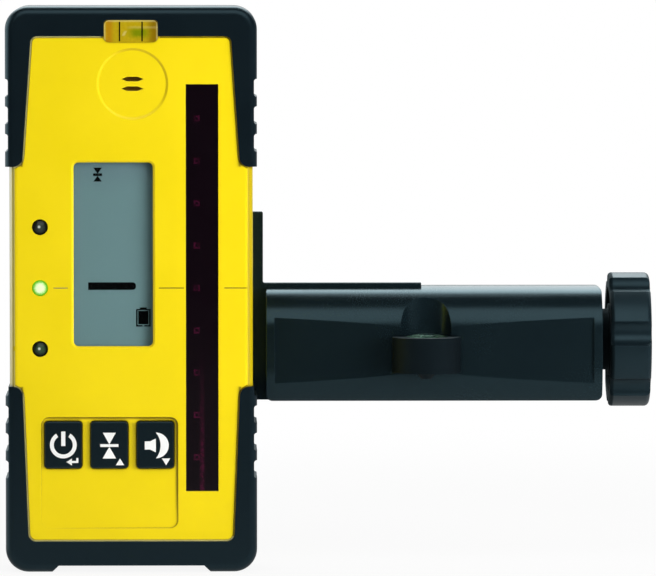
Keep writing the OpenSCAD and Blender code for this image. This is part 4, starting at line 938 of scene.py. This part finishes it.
def thread_tree():
    tree = Shape("thread", {
        "Radius": ("Float", 0.005), "Depth": ("Float", 0.001), "Pitch": ("Float", 0.004),
        "Start": ("Float", 0.0), "End": ("Float", 0.05), "Rows": ("Int", 200), "Sides": ("Int", 48),
        "Material": ("Material", None)})
    grid = tree.add("GeometryNodeMeshGrid", {}, {
        "Size X": 1.0, "Size Y": 1.0, "Vertices X": tree["Rows"], "Vertices Y": tree["Sides"]})
    x, y, _ = tree.axes(tree.add("GeometryNodeInputPosition"))
    row = (x + 0.5) * (tree["Rows"] - 1)
    share = clamped((row - 1) / (tree["Rows"] - 3))
    along = tree["Start"] + share * (tree["End"] - tree["Start"])
    angle = (y + 0.5) * math.tau
    wave = abs((along / tree["Pitch"] - (y + 0.5)).math("FRACT") - 0.5) * 2
    crest = clamped((wave - ROOT_SHARE) / FLANK_SHARE)
    from_start, from_end = (along - tree["Start"]) / tree["Pitch"], (tree["End"] - along) / tree["Pitch"]
    runout = from_start.math("MINIMUM", from_end).math("MINIMUM", 1.0)
    body = row.math("GREATER_THAN", 0.5) * row.math("LESS_THAN", tree["Rows"] - 1.5)
    radius = (tree["Radius"] - tree["Depth"] * (1 - crest * runout)) * body
    place = tree.add("ShaderNodeCombineXYZ", {}, {
        0: along, 1: radius * angle.math("COSINE"), 2: radius * angle.math("SINE")})
    rolled = tree.add("GeometryNodeSetPosition", {}, {"Geometry": grid, "Position": place})
    tree.close(tree.add("GeometryNodeMergeByDistance", {}, {"Geometry": rolled, "Distance": 1e-7}))
    return tree


thread = thread_tree()
print("inputs of the thread:",
      [item.name for item in thread.tree.interface.items_tree if item.in_out == "INPUT"])

# %% [markdown]
# The screw isn't thread alone: its inner end is a smooth journal that turns in the sliding jaw, with a
# groove for the retaining clip. A profile turned about the axis gives that end.

# %% Clamp screw and lock screw
def turned(name, profile, sides=48):
    """A closed solid from (place along X, radius) points in millimetres, turned about the X axis."""
    shape = bmesh.new()
    rings = [[shape.verts.new((x * MM, r * MM * math.cos(a), r * MM * math.sin(a)))
              for a in (math.tau * i / sides for i in range(sides))] for x, r in profile]
    for first, second in zip(rings, rings[1:]):
        for i in range(sides):
            j = (i + 1) % sides
            shape.faces.new((first[i], first[j], second[j], second[i]))
    shape.faces.new(rings[0])
    shape.faces.new(rings[-1])
    return to_mesh(shape, name)


def joined(name, *meshes):
    shape = bmesh.new()
    for mesh in meshes:
        shape.from_mesh(mesh)
    return to_mesh(shape, name)


JOURNAL, GROOVE, CHAMFER, JOURNAL_LONG, OVERLAP = 3.5, 2.6, 0.4, 9.7, 0.3
low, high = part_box("clamp_screw")
start = low.x / MM
clip_low, clip_high = (corner.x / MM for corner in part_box("screw_clip"))
shoulder = start + JOURNAL_LONG
journal = turned("journal", [
    (start, JOURNAL - CHAMFER), (start + CHAMFER, JOURNAL), (clip_low, JOURNAL), (clip_low, GROOVE),
    (clip_high, GROOVE), (clip_high, JOURNAL), (shoulder + OVERLAP, JOURNAL)])
spindle = thread.make("spindle", {
    "Radius": 5 * MM, "Depth": 0.85 * MM, "Pitch": 4 * MM, "Start": shoulder * MM, "End": high.x,
    "Rows": 420, "Sides": 49, "Material": steel})
piece("clamp_screw_thread", joined("clamp_screw_thread", journal, spindle), steel, "clamp_knob",
      ["clamp_screw"])
low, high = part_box("lock_screw")
bolt = thread.make("bolt", {
    "Radius": (high.x - low.x) / 2, "Depth": 0.5 * MM, "Pitch": 1 * MM, "Start": 0.0,
    "End": high.y - low.y, "Rows": 260, "Sides": 33, "Material": steel})
middle = (low + high) / 2
upright = Matrix.Rotation(math.radians(90), 4, "Z")
bolt.transform(Matrix.Translation((middle.x, low.y, middle.z)) @ upright)
piece("lock_screw_thread", bolt, steel, "lock_knob", ["lock_screw"])

# %% [markdown]
# Four cross-head screws hold the arm to its reading edge from behind. One screw is made in the tree, with
# its cross cut by a Boolean, and copied to four points.

# %% Cross-head screws
def screw_tree():
    tree = Shape("cross_screws", {
        "Places": ("Geometry", None), "Head Radius": ("Float", 0.003), "Head Height": ("Float", 0.0018),
        "Shank Radius": ("Float", 0.0015), "Shank Length": ("Float", 0.008), "Cross": ("Float", 0.0036),
        "Slot": ("Float", 0.0007), "Material": ("Material", None)})
    head = tree.add("GeometryNodeMeshCylinder", {}, {
        "Vertices": 40, "Radius": tree["Head Radius"], "Depth": tree["Head Height"]})
    shank = tree.add("GeometryNodeMeshCylinder", {}, {
        "Vertices": 24, "Radius": tree["Shank Radius"], "Depth": tree["Shank Length"]})
    down = tree.add("ShaderNodeCombineXYZ", {}, {2: (tree["Head Height"] + tree["Shank Length"]) * -0.5})
    shank = tree.add("GeometryNodeTransform", {}, {"Geometry": shank, "Translation": down})
    up = tree.add("ShaderNodeCombineXYZ", {}, {2: tree["Head Height"] * 0.5})
    for wide, deep in ((tree["Cross"], tree["Slot"]), (tree["Slot"], tree["Cross"])):
        size = tree.add("ShaderNodeCombineXYZ", {}, {0: wide, 1: deep, 2: tree["Head Height"]})
        cube = tree.add("GeometryNodeMeshCube", {}, {"Size": size})
        arm = tree.add("GeometryNodeTransform", {}, {"Geometry": cube, "Translation": up})
        head = tree.add("GeometryNodeMeshBoolean", {"operation": "DIFFERENCE"}, {0: head, 1: arm})
    both = tree.add("GeometryNodeJoinGeometry", out=None)
    for part in (shank, head):
        tree.tree.links.new(part.socket, both.inputs[0])
    tree.close(tree.add("GeometryNodeInstanceOnPoints", {}, {
        "Points": tree["Places"], "Instance": Value(tree, both.outputs[0]),
        "Rotation": (math.radians(-90), 0.0, 0.0)}))
    return tree


low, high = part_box("arm_screws")
head_r, head_h = 3 * MM, 1.8 * MM
places = bpy.data.meshes.new("places")
places.from_pydata([(x, high.y - head_h / 2, z) for x in (low.x + head_r, high.x - head_r)
                    for z in (low.z + head_r, high.z - head_r)], [], [])
heads = screw_tree().make("heads", {"Head Radius": head_r, "Head Height": head_h, "Material": steel,
                                    "Shank Length": high.y - low.y - head_h}, places)
piece("arm_screw_heads", heads, steel, "receiver", ["arm_screws"])

# %% [markdown]
# The studio is plain: a pale floor, a white surround and three soft lamps. The camera sees white all round.
# A Light Path node tells whether a ray comes from the camera, from a mirror or through glass, and the
# floor looks different to each: reflections see it bright mostly behind the part.

# %% Floor
FLOOR_HALF, FLOOR_GAP = 1.6, 0.05 * MM
SHADOW_NEAR, SHADOW_FAR = 0.2, 0.6
TABLE_EDGE = -1.07


def rays(graph):
    """1 for what the camera sees itself, and 1 for what is mirrored or seen through glass."""
    camera, glossy, through = graph.add(
        "ShaderNodeLightPath", out=("Is Camera Ray", "Is Glossy Ray", "Is Transmission Ray"))
    return camera, (glossy + through).math("MINIMUM", 1.0)


def studio_floor(height):
    """White to the camera but for a faint shadow near the part, and dim to mirrors in front of it."""
    finish = Finish("floor", {"Roughness": 0.9, "Specular IOR Level": 0.1})
    x, y, _ = finish.axes(finish.place)
    camera, mirrored = rays(finish)
    paper = finish.blend(finish.noise(1.5, 4.0), (0.88, 0.88, 0.88, 1.0), (0.92, 0.92, 0.92, 1.0))
    finish.set({"Base Color": paper})
    plain = Value(finish, finish.shader.outputs[0])
    white, black = (finish.add("ShaderNodeEmission", {}, {"Strength": level}) for level in (1.0, 0.0))

    def mix(share, first, second):
        return finish.add("ShaderNodeMixShader", {}, {0: share, 1: first, 2: second})

    away = finish.rise(length(x, y), SHADOW_NEAR, SHADOW_FAR)
    behind = finish.rise(y, -0.4, -0.1) * 0.4
    table = finish.rise(y + x * 0.1, TABLE_EDGE - 0.005, TABLE_EDGE + 0.005) * 0.1
    seen = mix(camera * (0.9 + away * 0.1), plain, white)
    surface = mix(mirrored * (1 - camera), seen, mix(behind + table, black, white))
    finish.feed(finish.tree.nodes["Material Output"].inputs["Surface"], surface)
    shape = bmesh.new()
    bmesh.ops.create_grid(shape, x_segments=8, y_segments=8, size=FLOOR_HALF)
    bmesh.ops.translate(shape, verts=shape.verts, vec=(0, 0, height))
    mesh = to_mesh(shape, "floor")
    mesh.materials.append(finish.material)
    floor = added("floor", mesh)
    floor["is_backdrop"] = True


studio_floor(cad_low.z - FLOOR_GAP)
print("floor at", round((cad_low.z - FLOOR_GAP) / MM, 2), "mm")

# %% [markdown]
# The surround does the same. Reflections see white only behind the part and at its left, while the side
# behind the camera stays dim, as a room does, so that dark glossy faces stay dark.

# %% Surround
BACKDROP_LEVEL, BACKDROP_TOP, WALL_LEVEL = 0.34, 8, 2.3


def surround(level, dim):
    """White for the camera, level for plain light, and a dim room with two bright sides for mirrors."""
    world = bpy.data.worlds.new("surround")
    bpy.context.scene.world = world
    world.use_nodes = True
    sky = Graph(world.node_tree)
    x, y, z = sky.axes(sky.add("ShaderNodeTexCoord", out="Generated"))
    camera, mirrored = rays(sky)
    upward = z.math("MAXIMUM", 0.0).math("POWER", 3.0)
    backdrop = sky.rise(y, 0.3, 0.42) * (BACKDROP_LEVEL + upward * BACKDROP_TOP)
    left_wall = sky.rise(x * -1, 0.5, 0.8) * sky.rise(y, -0.5, -0.1) * sky.fall(z, 0.3, 0.7) * WALL_LEVEL
    seen = dim + backdrop.math("MAXIMUM", left_wall)
    background = world.node_tree.nodes["Background"]
    sky.feed(background.inputs["Color"], sky.blend(mirrored, (1.0, 1.0, 1.0, 1.0), (0.84, 0.97, 1.0, 1.0)))
    sky.feed(background.inputs["Strength"],
             camera + (1 - camera) * (mirrored * seen + (1 - mirrored) * level))


surround(level=0.2, dim=0.012)
print("surround:", len(bpy.context.scene.world.node_tree.nodes), "nodes")

# %% [markdown]
# The lamps are softboxes: one at the right, one in front and above, and one behind. The lamp at the right
# lights the yellow but leaves no image of itself in the black.

# %% Studio lamps
def aim(thing, target, azimuth, elevation, distance):
    """Puts a lamp or camera some way from a target and turns it to look there.

    Azimuth 0 is the front and elevation is above the horizon, both in degrees.
    """
    a, e = math.radians(azimuth), math.radians(elevation)
    toward = Vector((math.sin(a) * math.cos(e), -math.cos(a) * math.cos(e), math.sin(e)))
    thing.location = target + toward * distance
    thing.rotation_mode = "QUATERNION"
    thing.rotation_quaternion = (-toward).to_track_quat("-Z", "Y")


def softbox(name, azimuth, elevation, distance, width, height, power, mirrored=True):
    """An area lamp that looks at the middle of the part, with or without its image in shiny faces."""
    lamp = bpy.data.lights.new(name, "AREA")
    lamp.shape, lamp.size, lamp.size_y, lamp.energy = "RECTANGLE", width, height, power
    made = added(name, lamp)
    made.visible_glossy = mirrored
    aim(made, (cad_low + cad_high) / 2, azimuth, elevation, distance)
    print(name, "of", power, "W")


softbox("key_light", azimuth=52, elevation=4, distance=0.42, width=0.24, height=0.24, power=1.7,
        mirrored=False)
softbox("top_light", azimuth=4, elevation=42, distance=1.0, width=1.2, height=0.7, power=4.0)
softbox("back_light", azimuth=190, elevation=38, distance=1.0, width=1.1, height=0.7, power=4.2)

# %% [markdown]
# The photograph was taken with a long lens from nearly straight in front, a little from the left and
# above. The lens and distance below give the picture's scale at the yellow face.

# %% Camera
PICTURE_WIDE, CAMERA_AWAY = 656, 2.2
lens = bpy.data.cameras.new("camera")
lens.sensor_width, lens.lens = 36.0, 400.0
lens.clip_start, lens.clip_end = 0.05, 50.0
camera = added("camera", lens)
aim(camera, Vector((7.5, -46.0, 18.25)) * MM, azimuth=-1.0, elevation=3.0, distance=CAMERA_AWAY)
bpy.context.scene.camera = camera
bpy.context.scene.view_settings.view_transform = "Standard"
scale = lens.lens / lens.sensor_width * PICTURE_WIDE / CAMERA_AWAY
print("picture scale:", round(scale * MM, 3), "pixels a mm")

# %% [markdown]
# Dressing the part shouldn't change its size, so the last lines print, in millimetres, how far the box of
# the dressed part reaches past the CAD box on each side.

# %% How far the part grew
low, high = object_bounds()
print("grown by", [round(v / MM, 2) for v in (*(cad_low - low), *(high - cad_high))], "mm")
